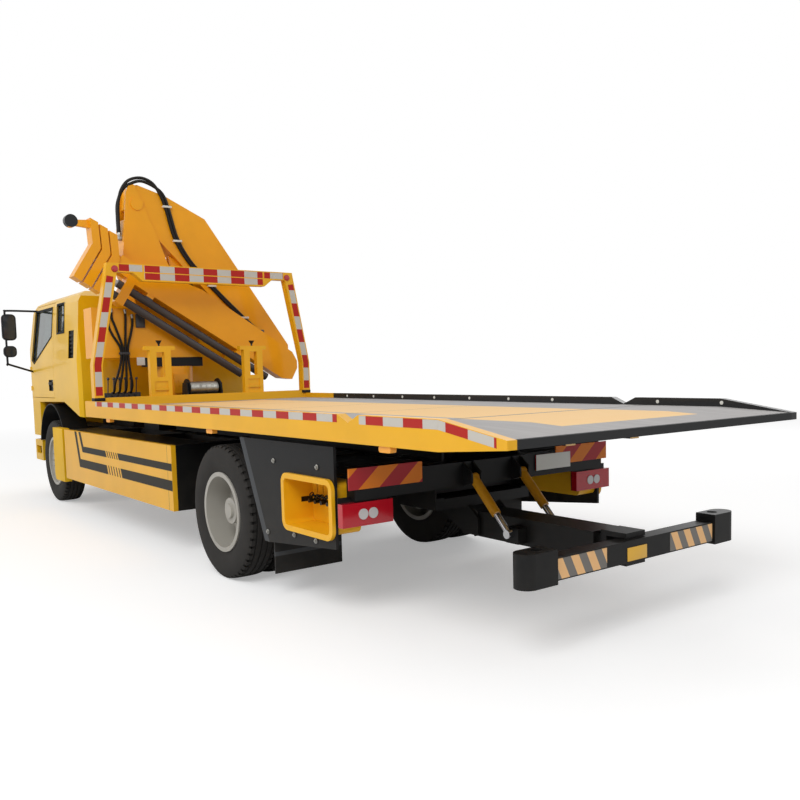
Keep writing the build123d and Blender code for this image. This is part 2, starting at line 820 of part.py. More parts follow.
# Cab shell with its openings, floor, tilt ears and door hinge pins
with BuildPart() as cab_shell:
    add(cab_outer)
    add(cab_inner, mode=Mode.SUBTRACT)
    block(cab_rear_x + cab_wall, cab_front_x - cab_wall, cab_wall - cab_half_width,
          cab_half_width - cab_wall, cab_skirt_z - 60, cab_floor_z, mode=Mode.SUBTRACT)
    side_profile(cab_underside, -cab_half_width - 10, cab_half_width + 10, mode=Mode.SUBTRACT)
    block(cab_rear_x, cab_front_x, -cab_half_width, cab_half_width,
          cab_skirt_z - 60, cab_skirt_z, mode=Mode.SUBTRACT)
    side_profile(door_outline, -cab_half_width - 10, cab_half_width + 10, mode=Mode.SUBTRACT)
    side_profile(quarter_window, -cab_half_width - 10, cab_half_width + 10, mode=Mode.SUBTRACT)
    cross_profile(windscreen_outline, cab_front_x - windscreen_lean - 200, cab_front_x + 10,
                  mode=Mode.SUBTRACT)
    for side in (1, -1):
        ear_y0 = side * (rail_outer_y + 4)
        ear_y1 = side * (rail_outer_y + 4 + ear_thickness)
        block(cab_pivot_x, cab_front_x - cab_wall + 10, ear_y0, ear_y1,
              cab_pivot_z - ear_radius, cab_pivot_z + ear_radius)
        rod((cab_pivot_x, ear_y0, cab_pivot_z), (cab_pivot_x, ear_y1, cab_pivot_z), ear_radius)
        rod((cab_pivot_x, ear_y0 - side, cab_pivot_z), (cab_pivot_x, ear_y1 + side, cab_pivot_z),
            cab_pivot_radius + pin_gap, mode=Mode.SUBTRACT)
        for height in door_hinge_heights:
            half = door_knuckle_height / 2
            for level in (1, -1):
                near = height + level * (half + 1)
                far = height + level * (half + 14)
                rod((hinge_x, side * hinge_y, near), (hinge_x, side * hinge_y, far),
                    door_knuckle_radius)
                block(hinge_x, hinge_x + 40, side * (hinge_y - 12), side * (hinge_y + 8),
                      near, far)
            rod((hinge_x, side * hinge_y, height - half - 1),
                (hinge_x, side * hinge_y, height + half + 1), door_knuckle_radius + 4,
                mode=Mode.SUBTRACT)
            rod((hinge_x, side * hinge_y, height - half - 14),
                (hinge_x, side * hinge_y, height + half + 14), door_hinge_radius)
    # Recess in the rear wall, pockets for the side vents and the grille
    rear_plane = Plane(origin=(cab_rear_x - 20, 0, rear_recess_z), x_dir=(0, 1, 0), z_dir=(1, 0, 0))
    with BuildSketch(rear_plane, mode=Mode.PRIVATE) as recess:
        RectangleRounded(2 * rear_recess_half, rear_recess_height, 80)
    extrude(recess.sketch, amount=20 + rear_recess_depth, mode=Mode.SUBTRACT)
    for side in (1, -1):
        block(*vent_x, side * vent_floor_y, side * (cab_half_width + 10), *vent_z,
              mode=Mode.SUBTRACT)
    block(cab_front_x - grille_depth, cab_front_x + 10, -grille_half, grille_half, *grille_z,
          mode=Mode.SUBTRACT)
keep(cab_shell, "cab_shell")

# Black trim: louvres in the side vents and bars in the grille
with BuildPart() as cab_trim:
    for side in (1, -1):
        block(vent_x[0] + trim_gap, vent_x[1] - trim_gap, side * vent_floor_y,
              side * (vent_floor_y + 6), vent_z[0] + trim_gap, vent_z[1] - trim_gap)
        for index in range(louvre_count):
            z = vent_z[0] + 30 + index * louvre_pitch
            louvre = [(side * (vent_floor_y + 4), z), (side * (vent_floor_y + 4), z + 16),
                      (side * (vent_floor_y + 19), z + 4), (side * (vent_floor_y + 19), z - 12)]
            cross_profile(louvre, vent_x[0] + trim_gap + 6, vent_x[1] - trim_gap - 6)
    grille_floor_x = cab_front_x - grille_depth
    block(grille_floor_x, grille_floor_x + 6, trim_gap - grille_half, grille_half - trim_gap,
          grille_z[0] + trim_gap, grille_z[1] - trim_gap)
    for index in range(grille_bar_count):
        z = grille_z[0] + 22 + index * grille_bar_pitch
        block(grille_floor_x + 5, cab_front_x - 2, 20 - grille_half, grille_half - 20, z, z + 30)
keep(cab_trim, "cab_trim")

# Fixed cab glass: windscreen and quarter windows
with BuildPart() as cab_glass:
    add(glass_outer)
    add(glass_inner, mode=Mode.SUBTRACT)
    with BuildPart(mode=Mode.PRIVATE) as panes:
        cross_profile(shrunk(windscreen_outline, seat_gap), cab_front_x - windscreen_lean - 200,
                      cab_front_x + 10)
        side_profile(shrunk(quarter_window, seat_gap), -cab_half_width - 10, cab_half_width + 10)
    add(panes.part, mode=Mode.INTERSECT)
keep(cab_glass, "cab_glass")

# Cab inside: dashboard, engine hump, two seats and the steering wheel on its column
inside_floor_z = cab_floor_z + cab_wall
dash_x = cab_front_x - 392
seat_x = cab_front_x - 1352
with BuildPart() as cab_interior:
    side_profile([(dash_x, inside_floor_z), (dash_x + 260, inside_floor_z), (dash_x + 260, 1600),
                  (dash_x + 100, 1700), (dash_x - 40, 1640), (dash_x - 50, 1560),
                  (dash_x + 100, 1500)], -900, 900)
    side_profile([(seat_x - 120, inside_floor_z), (dash_x, inside_floor_z), (dash_x, 1440),
                  (seat_x - 120, 1470)], -260, 260)
    rod((dash_x + 40, 500, 1600), (dash_x - 160, 500, 1740), 28)
    for side in (1, -1):
        block(seat_x, seat_x + 480, side * 300, side * 800, inside_floor_z, 1700)
        side_profile([(seat_x - 120, 1700), (seat_x + 20, 1700), (seat_x - 40, 2330),
                      (seat_x - 160, 2330)],
                     min(side * 300, side * 800), max(side * 300, side * 800))
    column_axis = Plane(origin=(dash_x - 157, 500, 1738), z_dir=(-200, 0, 140))
    with BuildSketch(column_axis, mode=Mode.PRIVATE) as wheel_face:
        Circle(215)
        Circle(185, mode=Mode.SUBTRACT)
        Rectangle(380, 40)
        Circle(55)
    extrude(wheel_face.sketch, amount=26)
keep(cab_interior, "cab_interior")

# Doors with their glass and mirrors
for name, side in (("left", 1), ("right", -1)):
    y_low = min(side * 900, side * (cab_half_width + 20))
    y_high = max(side * 900, side * (cab_half_width + 20))
    with BuildPart() as door:
        add(cab_outer)
        add(cab_inner, mode=Mode.SUBTRACT)
        with BuildPart(mode=Mode.PRIVATE) as door_slab:
            side_profile(shrunk(door_outline, door_gap), y_low, y_high)
        add(door_slab.part, mode=Mode.INTERSECT)
        side_profile(door_window, y_low, y_high, mode=Mode.SUBTRACT)
        for height in door_hinge_heights:
            half = door_knuckle_height / 2
            foot = (hinge_x, side * hinge_y, height - half - 18)
            head = (hinge_x, side * hinge_y, height + half + 18)
            rod(foot, head, door_knuckle_radius + 4, mode=Mode.SUBTRACT)
            rod((hinge_x, side * hinge_y, height - half), (hinge_x, side * hinge_y, height + half),
                door_knuckle_radius)
            block(hinge_x - 40, hinge_x, side * (hinge_y - 12), side * (hinge_y + 8),
                  height - half, height + half)
            rod(foot, head, door_hinge_radius + pin_gap, mode=Mode.SUBTRACT)
        # Handle bar in a pocket
        block(*handle_x, side * (cab_half_width - handle_pocket), side * (cab_half_width + 10),
              *handle_z, mode=Mode.SUBTRACT)
        block(handle_x[0] + 12, handle_x[1] - 12, side * (cab_half_width - handle_pocket - 2),
              side * (cab_half_width + 5), handle_z[1] - 60, handle_z[1] - 30)
    keep(door, f"door_{name}")

    with BuildPart() as door_glass:
        add(glass_outer)
        add(glass_inner, mode=Mode.SUBTRACT)
        with BuildPart(mode=Mode.PRIVATE) as pane:
            side_profile(shrunk(door_window, seat_gap), y_low, y_high)
        add(pane.part, mode=Mode.INTERSECT)
    keep(door_glass, f"door_glass_{name}")

    with BuildPart() as mirror_set:
        arm_y = side * (cab_half_width + 350)
        top_foot = (mirror_x + 40, side * (cab_half_width - 90), 2425)
        low_foot = (mirror_x + 230, side * (cab_half_width - 20), 1640)
        rod(top_foot, (mirror_x, arm_y, 2425), arm_radius)
        rod((mirror_x, arm_y, 2430), (mirror_x, arm_y, 1730), arm_radius)
        rod((mirror_x, arm_y, 1735), low_foot, arm_radius)
        block(mirror_x - mirror_depth / 2, mirror_x + mirror_depth / 2,
              side * mirror_inner_y, side * mirror_outer_y, 2050, 2375)
        block(mirror_x - mirror_depth / 2, mirror_x + mirror_depth / 2,
              side * (mirror_inner_y + 10), side * (mirror_outer_y - 5), 1832, 1945)
        add(cab_outer, mode=Mode.SUBTRACT)
    keep(mirror_set, f"mirror_{name}")

# Bumper with recesses for the lamps
with BuildPart() as bumper:
    with BuildSketch(Plane.XY.offset(bumper_bottom_z)) as bumper_plan:
        with BuildLine():
            side_x = arch_front_x + 10
            bend_x = nose_x - 240
            Polyline((side_x, cab_half_width), (bend_x, cab_half_width), (nose_x, 760),
                     (nose_x, -760), (bend_x, -cab_half_width), (side_x, -cab_half_width),
                     (side_x, -cab_half_width + bumper_wall),
                     (bend_x - 12, -cab_half_width + bumper_wall),
                     (nose_x - bumper_wall, -742), (nose_x - bumper_wall, 742),
                     (bend_x - 12, cab_half_width - bumper_wall),
                     (side_x, cab_half_width - bumper_wall), close=True)
        make_face()
    extrude(amount=bumper_top_z - bumper_bottom_z)
    for side in (1, -1):
        block(chassis_front_x, nose_x - bumper_wall + 5, side * (rail_outer_y - 8),
              side * (rail_outer_y - rail_flange), rail_bottom_z, bumper_top_z)
        lamp_y0 = side * (480)
        lamp_y1 = side * (480 + lamp_width)
        block(nose_x - lamp_depth, nose_x + 10, lamp_y0, lamp_y1, 560, 560 + lamp_height,
              mode=Mode.SUBTRACT)
        # Entry step: an opening in the bumper's side with a tread in it
        block(step_rear_x, step_front_x, side * (cab_half_width - bumper_wall - 10),
              side * (cab_half_width + 10), step_bottom_z, step_top_z, mode=Mode.SUBTRACT)
        block(step_rear_x - 20, step_front_x + 20, side * (cab_half_width - step_depth),
              side * (cab_half_width - bumper_wall + 5), step_bottom_z - 20, step_bottom_z)
keep(bumper, "front_bumper")
with BuildPart() as headlamps:
    for side in (1, -1):
        block(nose_x - lamp_depth + seat_gap, nose_x - 2, side * (480 + seat_gap),
              side * (480 + lamp_width - seat_gap), 560 + seat_gap,
              560 + lamp_height - seat_gap)
keep(headlamps, "headlamps")

# Front wheel arches and the panels behind the front wheels
with BuildPart() as front_fenders:
    for side in (1, -1):
        y_high = max(side * fender_inner_y, side * fender_outer_y)
        plane = Plane(origin=(fender_centre_x, y_high, fender_centre_z), x_dir=(1, 0, 0),
                      z_dir=(0, -1, 0))
        with BuildSketch(plane, mode=Mode.PRIVATE) as band:
            Circle(fender_radius)
            Circle(fender_radius - fender_thickness, mode=Mode.SUBTRACT)
            with Locations((0, fender_cut_z - fender_radius)):
                Rectangle(3 * fender_radius, 2 * fender_radius, mode=Mode.SUBTRACT)
        extrude(band.sketch, amount=fender_outer_y - fender_inner_y)
        for end in (1, -1):
            tube_x = fender_centre_x + end * (fender_radius - 40)
            block(tube_x - 20, tube_x + 20, side * rail_outer_y, side * (fender_outer_y - 60),
                  850, 890)
    for side in (1, -1):
        side_profile([(guard_strip_rear_x, guard_strip_bottom_z),
                      (guard_strip_front_x - 40, guard_strip_bottom_z),
                      (guard_strip_front_x, guard_strip_bottom_z + 60),
                      (guard_strip_front_x, guard_strip_top_z),
                      (guard_strip_rear_x, guard_strip_top_z)],
                     min(side * (skirt_outer_y - 80), side * skirt_outer_y),
                     max(side * (skirt_outer_y - 80), side * skirt_outer_y))
        block(guard_strip_rear_x + 60, guard_strip_rear_x + 110, side * rail_outer_y,
              side * (skirt_outer_y - 70), 780, 830)
keep(front_fenders, "front_fenders")

# Side tool boxes between the axles
with BuildPart() as side_skirts:
    for side in (1, -1):
        inner = side * (skirt_outer_y - skirt_depth)
        block(skirt_rear_x, skirt_front_x, inner, side * skirt_outer_y,
              skirt_bottom_z, skirt_top_z)
        block(skirt_rear_x + panel_thickness, skirt_front_x - panel_thickness,
              inner - side * 10, side * (skirt_outer_y - panel_thickness),
              skirt_bottom_z + panel_thickness, skirt_top_z - panel_thickness,
              mode=Mode.SUBTRACT)
        for station in (skirt_rear_x + 300, (skirt_rear_x + skirt_front_x) / 2,
                        skirt_front_x - 300):
            block(station - bracket_half, station + bracket_half, side * rail_outer_y,
                  side * (skirt_outer_y - panel_thickness + 2), skirt_top_z - 80,
                  skirt_top_z - panel_thickness + 2)
keep(side_skirts, "side_skirts")

# Rear mudguard panels with their tubes
with BuildPart() as rear_mudguards:
    for side in (1, -1):
        outline = [
            (guard_front_top_x, guard_top_z),
            (guard_front_foot_x, guard_bottom_z),
            (guard_front_foot_x - 60, guard_bottom_z),
            (guard_rear_x, guard_rear_bottom_z),
            (guard_rear_x, guard_top_z),
        ]
        y_low = min(side * (skirt_outer_y - panel_thickness), side * skirt_outer_y)
        y_high = max(side * (skirt_outer_y - panel_thickness), side * skirt_outer_y)
        side_profile(outline, y_low, y_high)
        rounded_side(basket_rear_x - seat_gap, basket_front_x + seat_gap,
                     basket_bottom_z - seat_gap, basket_top_z + seat_gap, y_low - 5, y_high + 5,
                     basket_corner, mode=Mode.SUBTRACT)
        flange = [
            (guard_front_top_x, guard_top_z),
            (guard_front_foot_x, guard_bottom_z),
            (guard_front_foot_x - 14, guard_bottom_z),
            (guard_front_top_x - 14, guard_top_z),
        ]
        side_profile(flange, min(side * 1120, side * (skirt_outer_y - 2)),
                     max(side * 1120, side * (skirt_outer_y - 2)))
        for tube_x in (flap_x, guard_rear_x + 150):
            rod((tube_x, side * rail_outer_y, guard_tube_z + guard_tube_radius),
                (tube_x, side * (skirt_outer_y - panel_thickness + 2),
                 guard_tube_z + guard_tube_radius), guard_tube_radius)
        block(flap_x - flap_thickness / 2, flap_x + flap_thickness / 2,
              side * flap_inner_y, side * flap_outer_y, flap_bottom_z,
              guard_tube_z + guard_tube_radius)
keep(rear_mudguards, "rear_mudguards")

# Chain baskets open to the side, with pegs for the chains and slots in the back wall
with BuildPart() as chain_baskets:
    for side in (1, -1):
        rounded_side(basket_rear_x, basket_front_x, basket_bottom_z, basket_top_z,
                     side * basket_inner_y, side * basket_outer_y, basket_corner)
        rounded_side(basket_rear_x - basket_lip, basket_front_x + basket_lip,
                     basket_bottom_z - basket_lip, basket_top_z + basket_lip,
                     side * (skirt_outer_y + seat_gap), side * basket_outer_y,
                     basket_corner + basket_lip)
        rounded_side(basket_rear_x + basket_wall, basket_front_x - basket_wall,
                     basket_bottom_z + basket_wall, basket_top_z - basket_wall,
                     side * (basket_inner_y + basket_wall), side * (basket_outer_y + 5),
                     basket_corner - basket_wall, mode=Mode.SUBTRACT)
        for index in range(basket_peg_count):
            peg_x = basket_rear_x + 90 + index * basket_peg_pitch
            rod((peg_x, side * basket_inner_y, basket_peg_z),
                (peg_x, side * basket_peg_end_y, basket_peg_z), basket_peg_radius)
            block(peg_x + 25, peg_x + 37, side * (basket_inner_y - 5),
                  side * (basket_inner_y + basket_wall + 5), basket_peg_z + 40,
                  basket_peg_z + 115, mode=Mode.SUBTRACT)
keep(chain_baskets, "chain_baskets")

# Rear beam with lamp plates, tail lamps, marker boards and the blank number plate
lamp_front_x = rear_face_x + tail_lamp_depth
with BuildPart() as rear_beam:
    block(rear_face_x, chassis_rear_x, -rear_beam_half_width, rear_beam_half_width,
          rear_beam_bottom_z, rear_beam_top_z)
    for side in (1, -1):
        block(lamp_front_x, lamp_front_x + 6, side * tail_lamp_inner_y,
              side * tail_lamp_outer_y, tail_lamp_bottom_z, rear_beam_bottom_z + 20)
keep(rear_beam, "rear_beam")
with BuildPart() as tail_lamps:
    for side in (1, -1):
        block(rear_face_x, lamp_front_x, side * tail_lamp_inner_y, side * tail_lamp_outer_y,
              tail_lamp_bottom_z, tail_lamp_top_z)
        for lens_y in tail_lens_stations:
            rod((rear_face_x + 5, side * lens_y, tail_lens_z),
                (rear_face_x - tail_lens_depth, side * lens_y, tail_lens_z), tail_lens_radius)
keep(tail_lamps, "tail_lamps")
with BuildPart() as marker_boards:
    for side in (1, -1):
        block(rear_face_x - board_thickness, rear_face_x, side * board_inner_y,
              side * board_outer_y, board_bottom_z, board_top_z)
    block(rear_face_x - plate_proud, rear_face_x, *plate_y, *plate_z)
keep(marker_boards, "marker_boards")

# Underlift mount below the chassis rear
lug_y = lift_housing_half_width + 6
with BuildPart() as underlift_mount:
    block(chassis_rear_x, chassis_rear_x + 420, -rail_outer_y, rail_outer_y,
          rail_bottom_z - 70, rail_bottom_z)
    for side in (1, -1):
        side_profile([(lift_pivot_x - 60, lift_pivot_z - 60), (lift_pivot_x + 80, lift_pivot_z - 60),
                      (chassis_rear_x + 420, rail_bottom_z - 60), (chassis_rear_x, rail_bottom_z - 60),
                      (lift_pivot_x - 60, lift_pivot_z + 60)],
                     min(side * lug_y, side * (lug_y + lift_lug_thickness)),
                     max(side * lug_y, side * (lug_y + lift_lug_thickness)))
        # Upper ram lugs below the rear beam
        lug = [(rear_face_x, rear_beam_top_z), (rear_face_x, rear_beam_bottom_z),
               (ram_top[0] - lift_lug_gap, ram_top[1] - lift_lug_gap),
               (ram_top[0] - lift_lug_gap, ram_top[1] + lift_lug_gap)]
        for y0 in (side * (lift_ram_y - lift_lug_gap - lift_lug_plate),
                   side * (lift_ram_y + lift_lug_gap)):
            y1 = y0 + side * lift_lug_plate
            side_profile(lug, min(y0, y1), max(y0, y1))
        rod((ram_top[0], side * (lift_ram_y - lift_lug_gap - lift_lug_plate), ram_top[1]),
            (ram_top[0], side * (lift_ram_y + lift_lug_gap + lift_lug_plate), ram_top[1]), lift_ram_pin_radius)
    pin_half = lug_y + lift_lug_thickness
    rod((lift_pivot_x, -pin_half, lift_pivot_z), (lift_pivot_x, pin_half, lift_pivot_z),
        lift_pin_radius)
keep(underlift_mount, "underlift_mount")

# Lift boom: box housing on the lift pin, open at the rear for the tongue
with BuildPart() as lift_boom:
    block(lift_housing_rear_x, lift_pivot_x - 30, -lift_housing_half_width,
          lift_housing_half_width, lift_housing_bottom_z, lift_housing_top_z)
    block(lift_housing_rear_x - 5, lift_pivot_x - 110, -tongue_half_width - slide_gap,
          tongue_half_width + slide_gap, lift_housing_bottom_z + lift_wall,
          lift_housing_top_z - lift_wall, mode=Mode.SUBTRACT)
    rod((lift_pivot_x, -lift_housing_half_width, lift_pivot_z),
        (lift_pivot_x, lift_housing_half_width, lift_pivot_z), 70)
    rod((lift_pivot_x, -lift_housing_half_width - 1, lift_pivot_z),
        (lift_pivot_x, lift_housing_half_width + 1, lift_pivot_z), lift_pin_radius + pin_gap,
        mode=Mode.SUBTRACT)
    # Side horns that the rods pull on
    for side in (1, -1):
        block(ram_bottom[0] - 55, ram_bottom[0] + 55, side * (lift_housing_half_width - 4),
              side * (lift_ram_y - 26), lift_housing_bottom_z + 20, ram_bottom[1] + 35)
        horn = [(ram_bottom[0] - 55, lift_housing_bottom_z + 20),
                (ram_bottom[0] + 55, lift_housing_bottom_z + 20),
                (ram_bottom[0] + 30, ram_bottom[1] + 26), (ram_bottom[0] - 30, ram_bottom[1] + 26)]
        y0 = side * (lift_ram_y - 26 - 14)
        side_profile(horn, min(y0, y0 + side * 14), max(y0, y0 + side * 14))
keep(lift_boom, "lift_boom")

# Tongue that slides in the lift boom, with the eye for the crossbar
tongue_bottom_z = lift_housing_bottom_z + lift_wall + slide_gap
tongue_top_z = lift_housing_top_z - lift_wall - slide_gap
with BuildPart() as lift_tongue:
    block(crossbar_front_x + 20, lift_pivot_x - 130, -tongue_half_width, tongue_half_width,
          tongue_bottom_z, tongue_top_z)
    block(crossbar_pivot_x - 60, crossbar_front_x + 60, -tongue_half_width, tongue_half_width,
          crossbar_top_z + 2, crossbar_top_z + 32)
    block(crossbar_pivot_x - 60, crossbar_front_x + 60, -tongue_half_width, tongue_half_width,
          crossbar_bottom_z - 32, crossbar_bottom_z - 2)
    block(crossbar_front_x + 22, crossbar_front_x + 60, -tongue_half_width, tongue_half_width,
          crossbar_bottom_z - 32, crossbar_top_z + 32)
    rod((crossbar_pivot_x, 0, crossbar_bottom_z - 30), (crossbar_pivot_x, 0, crossbar_top_z + 30),
        crossbar_pin_radius)
keep(lift_tongue, "lift_tongue")

# Crossbar with end caps and fork sockets
with BuildPart() as crossbar:
    block(crossbar_rear_x, crossbar_front_x - 60, -crossbar_half_length, crossbar_half_length,
          crossbar_bottom_z, crossbar_top_z)
    rod((crossbar_pivot_x, 0, crossbar_bottom_z), (crossbar_pivot_x, 0, crossbar_top_z), 50)
    for side in (1, -1):
        block(crossbar_rear_x - 15, crossbar_front_x - 40, side * crossbar_half_length,
              side * crossbar_cap_outer_y, crossbar_bottom_z - 15, crossbar_top_z + 45)
        # Half-round end
        cap_depth = crossbar_front_x - 40 - (crossbar_rear_x - 15)
        cap_middle_x = crossbar_rear_x - 15 + cap_depth / 2
        rod((cap_middle_x, side * crossbar_cap_outer_y, crossbar_bottom_z - 15),
            (cap_middle_x, side * crossbar_cap_outer_y, crossbar_top_z + 45), cap_depth / 2)
        socket_y = side * (crossbar_half_length + crossbar_cap_outer_y) / 2
        rod((crossbar_pivot_x - 40, socket_y, crossbar_bottom_z - 20),
            (crossbar_pivot_x - 40, socket_y, crossbar_top_z + 50), fork_socket_radius,
            mode=Mode.SUBTRACT)
    rod((crossbar_pivot_x, 0, crossbar_bottom_z - 5), (crossbar_pivot_x, 0, crossbar_top_z + 5),
        crossbar_pin_radius + pin_gap, mode=Mode.SUBTRACT)
keep(crossbar, "crossbar")

# Lift rams: barrels hang on the upper lugs, rods reach the horns
ram_path = Vector(ram_bottom[0] - ram_top[0], 0, ram_bottom[1] - ram_top[1])
ram_unit = ram_path.normalized()
barrel_length = lift_ram_share * ram_path.length


def along_ram(start, distance, y):
    """Point at a distance along the lift ram from its upper pin."""
    return (start[0] + ram_unit.X * distance, y, start[1] + ram_unit.Z * distance)


with BuildPart() as lift_barrels:
    for side in (1, -1):
        y = side * lift_ram_y
        rod((ram_top[0], y - 26, ram_top[1]), (ram_top[0], y + 26, ram_top[1]), 30)
        rod(along_ram(ram_top, 20, y), along_ram(ram_top, barrel_length, y), lift_ram_radius)
        rod((ram_top[0], y - 40, ram_top[1]), (ram_top[0], y + 40, ram_top[1]),
            lift_ram_pin_radius + pin_gap, mode=Mode.SUBTRACT)
        rod(along_ram(ram_top, 60, y), along_ram(ram_top, barrel_length + 5, y),
            lift_rod_radius + pin_gap, mode=Mode.SUBTRACT)
keep(lift_barrels, "lift_barrels")
with BuildPart() as lift_rods:
    for side in (1, -1):
        y = side * lift_ram_y
        rod(along_ram(ram_top, 125, y), along_ram(ram_top, ram_path.length, y), lift_rod_radius)
        rod((ram_bottom[0], y - 24, ram_bottom[1]), (ram_bottom[0], y + 24, ram_bottom[1]), 28)
keep(lift_rods, "lift_rods")

# Tilting frame under the deck
with BuildPart() as tilt_frame:
    for side in (1, -1):
        y_low = min(side * (beam_outer_y - beam_width), side * beam_outer_y)
        y_high = max(side * (beam_outer_y - beam_width), side * beam_outer_y)
        block(deck_pivot_x, beam_front_x, y_low, y_high, beam_bottom_z, beam_top_z)
        rod((deck_pivot_x, y_low, deck_pivot_z), (deck_pivot_x, y_high, deck_pivot_z),
            beam_depth / 2)
    for station in tilt_cross_stations:
        block(station - tilt_cross_half, station + tilt_cross_half, beam_width - beam_outer_y,
              beam_outer_y - beam_width, beam_bottom_z + 20, beam_top_z - 30)
    rod((deck_pivot_x, -beam_outer_y - 1, deck_pivot_z), (deck_pivot_x, beam_outer_y + 1, deck_pivot_z),
        deck_pivot_radius + pin_gap, mode=Mode.SUBTRACT)
    head_x, head_z = tilt_ram_head
    for side in (1, -1):
        for lug_y in (side * (tilt_ram_y - ram_eye_half - 1 - ram_lug_thickness),
                      side * (tilt_ram_y + ram_eye_half + 1)):
            side_profile([(tilt_head_station + tilt_cross_half, beam_bottom_z + 20),
                          (tilt_head_station + tilt_cross_half, beam_top_z - 30),
                          (head_x + 30, beam_top_z - 30), (head_x + 40, head_z),
                          (head_x, head_z - 38)],
                         min(lug_y, lug_y + side * ram_lug_thickness),
                         max(lug_y, lug_y + side * ram_lug_thickness))
keep(tilt_frame, "tilt_frame")


def ram_barrel(start, end, y, length, radius, rod_radius, pin_radius, eye_half):
    """Barrel of a ram in a plane across y, bored for its rod and its base pin."""
    unit = Vector(end[0] - start[0], 0, end[1] - start[1]).normalized()
    mouth = (start[0] + unit.X * length, y, start[1] + unit.Z * length)
    foot = (start[0] + unit.X * 1.7 * radius, y, start[1] + unit.Z * 1.7 * radius)
    shoulder = (start[0] + unit.X * 1.5 * radius, y, start[1] + unit.Z * 1.5 * radius)
    rod((start[0], y - eye_half, start[1]), (start[0], y + eye_half, start[1]), 0.85 * radius)
    rod((start[0], y, start[1]), foot, eye_half - 2)
    rod(shoulder, mouth, radius)
    rod((start[0], y - 2 * radius, start[1]), (start[0], y + 2 * radius, start[1]),
        pin_radius + pin_gap, mode=Mode.SUBTRACT)
    rod(foot, (mouth[0] + unit.X, y, mouth[2] + unit.Z), rod_radius + pin_gap, mode=Mode.SUBTRACT)


def ram_rod(start, end, y, inside, rod_radius, eye_radius, eye_half):
    """Piston rod with its eye, starting inside the barrel at a distance from the base pin."""
    unit = Vector(end[0] - start[0], 0, end[1] - start[1]).normalized()
    rod((start[0] + unit.X * inside, y, start[1] + unit.Z * inside), (end[0], y, end[1]),
        rod_radius)
    rod((end[0], y - eye_half, end[1]), (end[0], y + eye_half, end[1]), eye_radius)


# Deck tilt rams
with BuildPart() as tilt_barrels:
    for side in (1, -1):
        ram_barrel(tilt_ram_base, tilt_ram_head, side * tilt_ram_y, tilt_barrel_length,
                   tilt_ram_radius, tilt_rod_radius, tilt_pin_radius, ram_eye_half)
keep(tilt_barrels, "tilt_barrels")
with BuildPart() as tilt_rods:
    for side in (1, -1):
        ram_rod(tilt_ram_base, tilt_ram_head, side * tilt_ram_y, 2 * tilt_ram_radius,
                tilt_rod_radius, tilt_ram_radius - 6, ram_eye_half)
keep(tilt_rods, "tilt_rods")

# Deck platform: floor on cross bearers and two sills, header beam and sloping tail
inner_half = deck_half_width - deck_rail_width
floor_bottom_z = deck_floor_z - deck_floor_thickness
sill_bottom_z = beam_top_z + slide_gap
with BuildPart() as deck_platform:
    block(deck_fold_x, deck_front_x, -inner_half, inner_half, floor_bottom_z, deck_floor_z)
    for index in range(deck_bearer_count):
        bearer_x = deck_front_x - 60 - index * deck_bearer_pitch
        block(bearer_x - deck_bearer_half, bearer_x + deck_bearer_half, -inner_half, inner_half,
              deck_rail_bottom_z, floor_bottom_z)
    for side in (1, -1):
        block(deck_fold_x, deck_front_x - 40, side * (beam_outer_y - beam_width + 10),
              side * (beam_outer_y - 10), sill_bottom_z, floor_bottom_z)
    side_profile([(deck_fold_x, deck_rail_bottom_z + 20), (deck_fold_x, deck_floor_z),
                  (tail_x, tail_edge_z), (tail_x, tail_edge_z - tail_edge_thickness)],
                 -inner_half, inner_half)
    header_half = deck_half_width - arch_tube
    block(header_x - header_depth / 2, header_x + header_depth / 2, -header_half, header_half,
          deck_floor_z, header_top_z)
    # Below the arch feet the header reaches the rails
    block(header_x - header_depth / 2, header_x + header_depth / 2, -inner_half, inner_half,
          deck_floor_z, deck_rail_top_z)
keep(deck_platform, "deck_platform")

with BuildPart() as deck_rails:
    for side in (1, -1):
        rail_outline = [
            (deck_front_x, deck_rail_bottom_z),
            (deck_fold_x, deck_rail_bottom_z),
            (tail_x, tail_edge_z - tail_edge_thickness),
            (tail_x, tail_edge_z),
            (deck_fold_x, deck_rail_top_z),
            (deck_front_x, deck_rail_top_z),
        ]
        y_low = min(side * inner_half, side * deck_half_width)
        y_high = max(side * inner_half, side * deck_half_width)
        side_profile(rail_outline, y_low, y_high)
        # Notch where the raised tail part begins
        side_profile([(notch_front_x, deck_rail_top_z + 10), (notch_front_x, deck_rail_top_z),
                      (notch_middle_x, notch_bottom_z), (notch_rear_x, deck_rail_top_z),
                      (notch_rear_x, deck_rail_top_z + 10)], y_low, y_high, mode=Mode.SUBTRACT)
        for lamp_x in side_lamp_stations:
            rounded_side(lamp_x - 55, lamp_x + 55, deck_rail_bottom_z - side_lamp_height,
                         deck_rail_bottom_z + 2, side * (deck_half_width - 50),
                         side * (deck_half_width - 10), 16)
keep(deck_rails, "deck_rails")

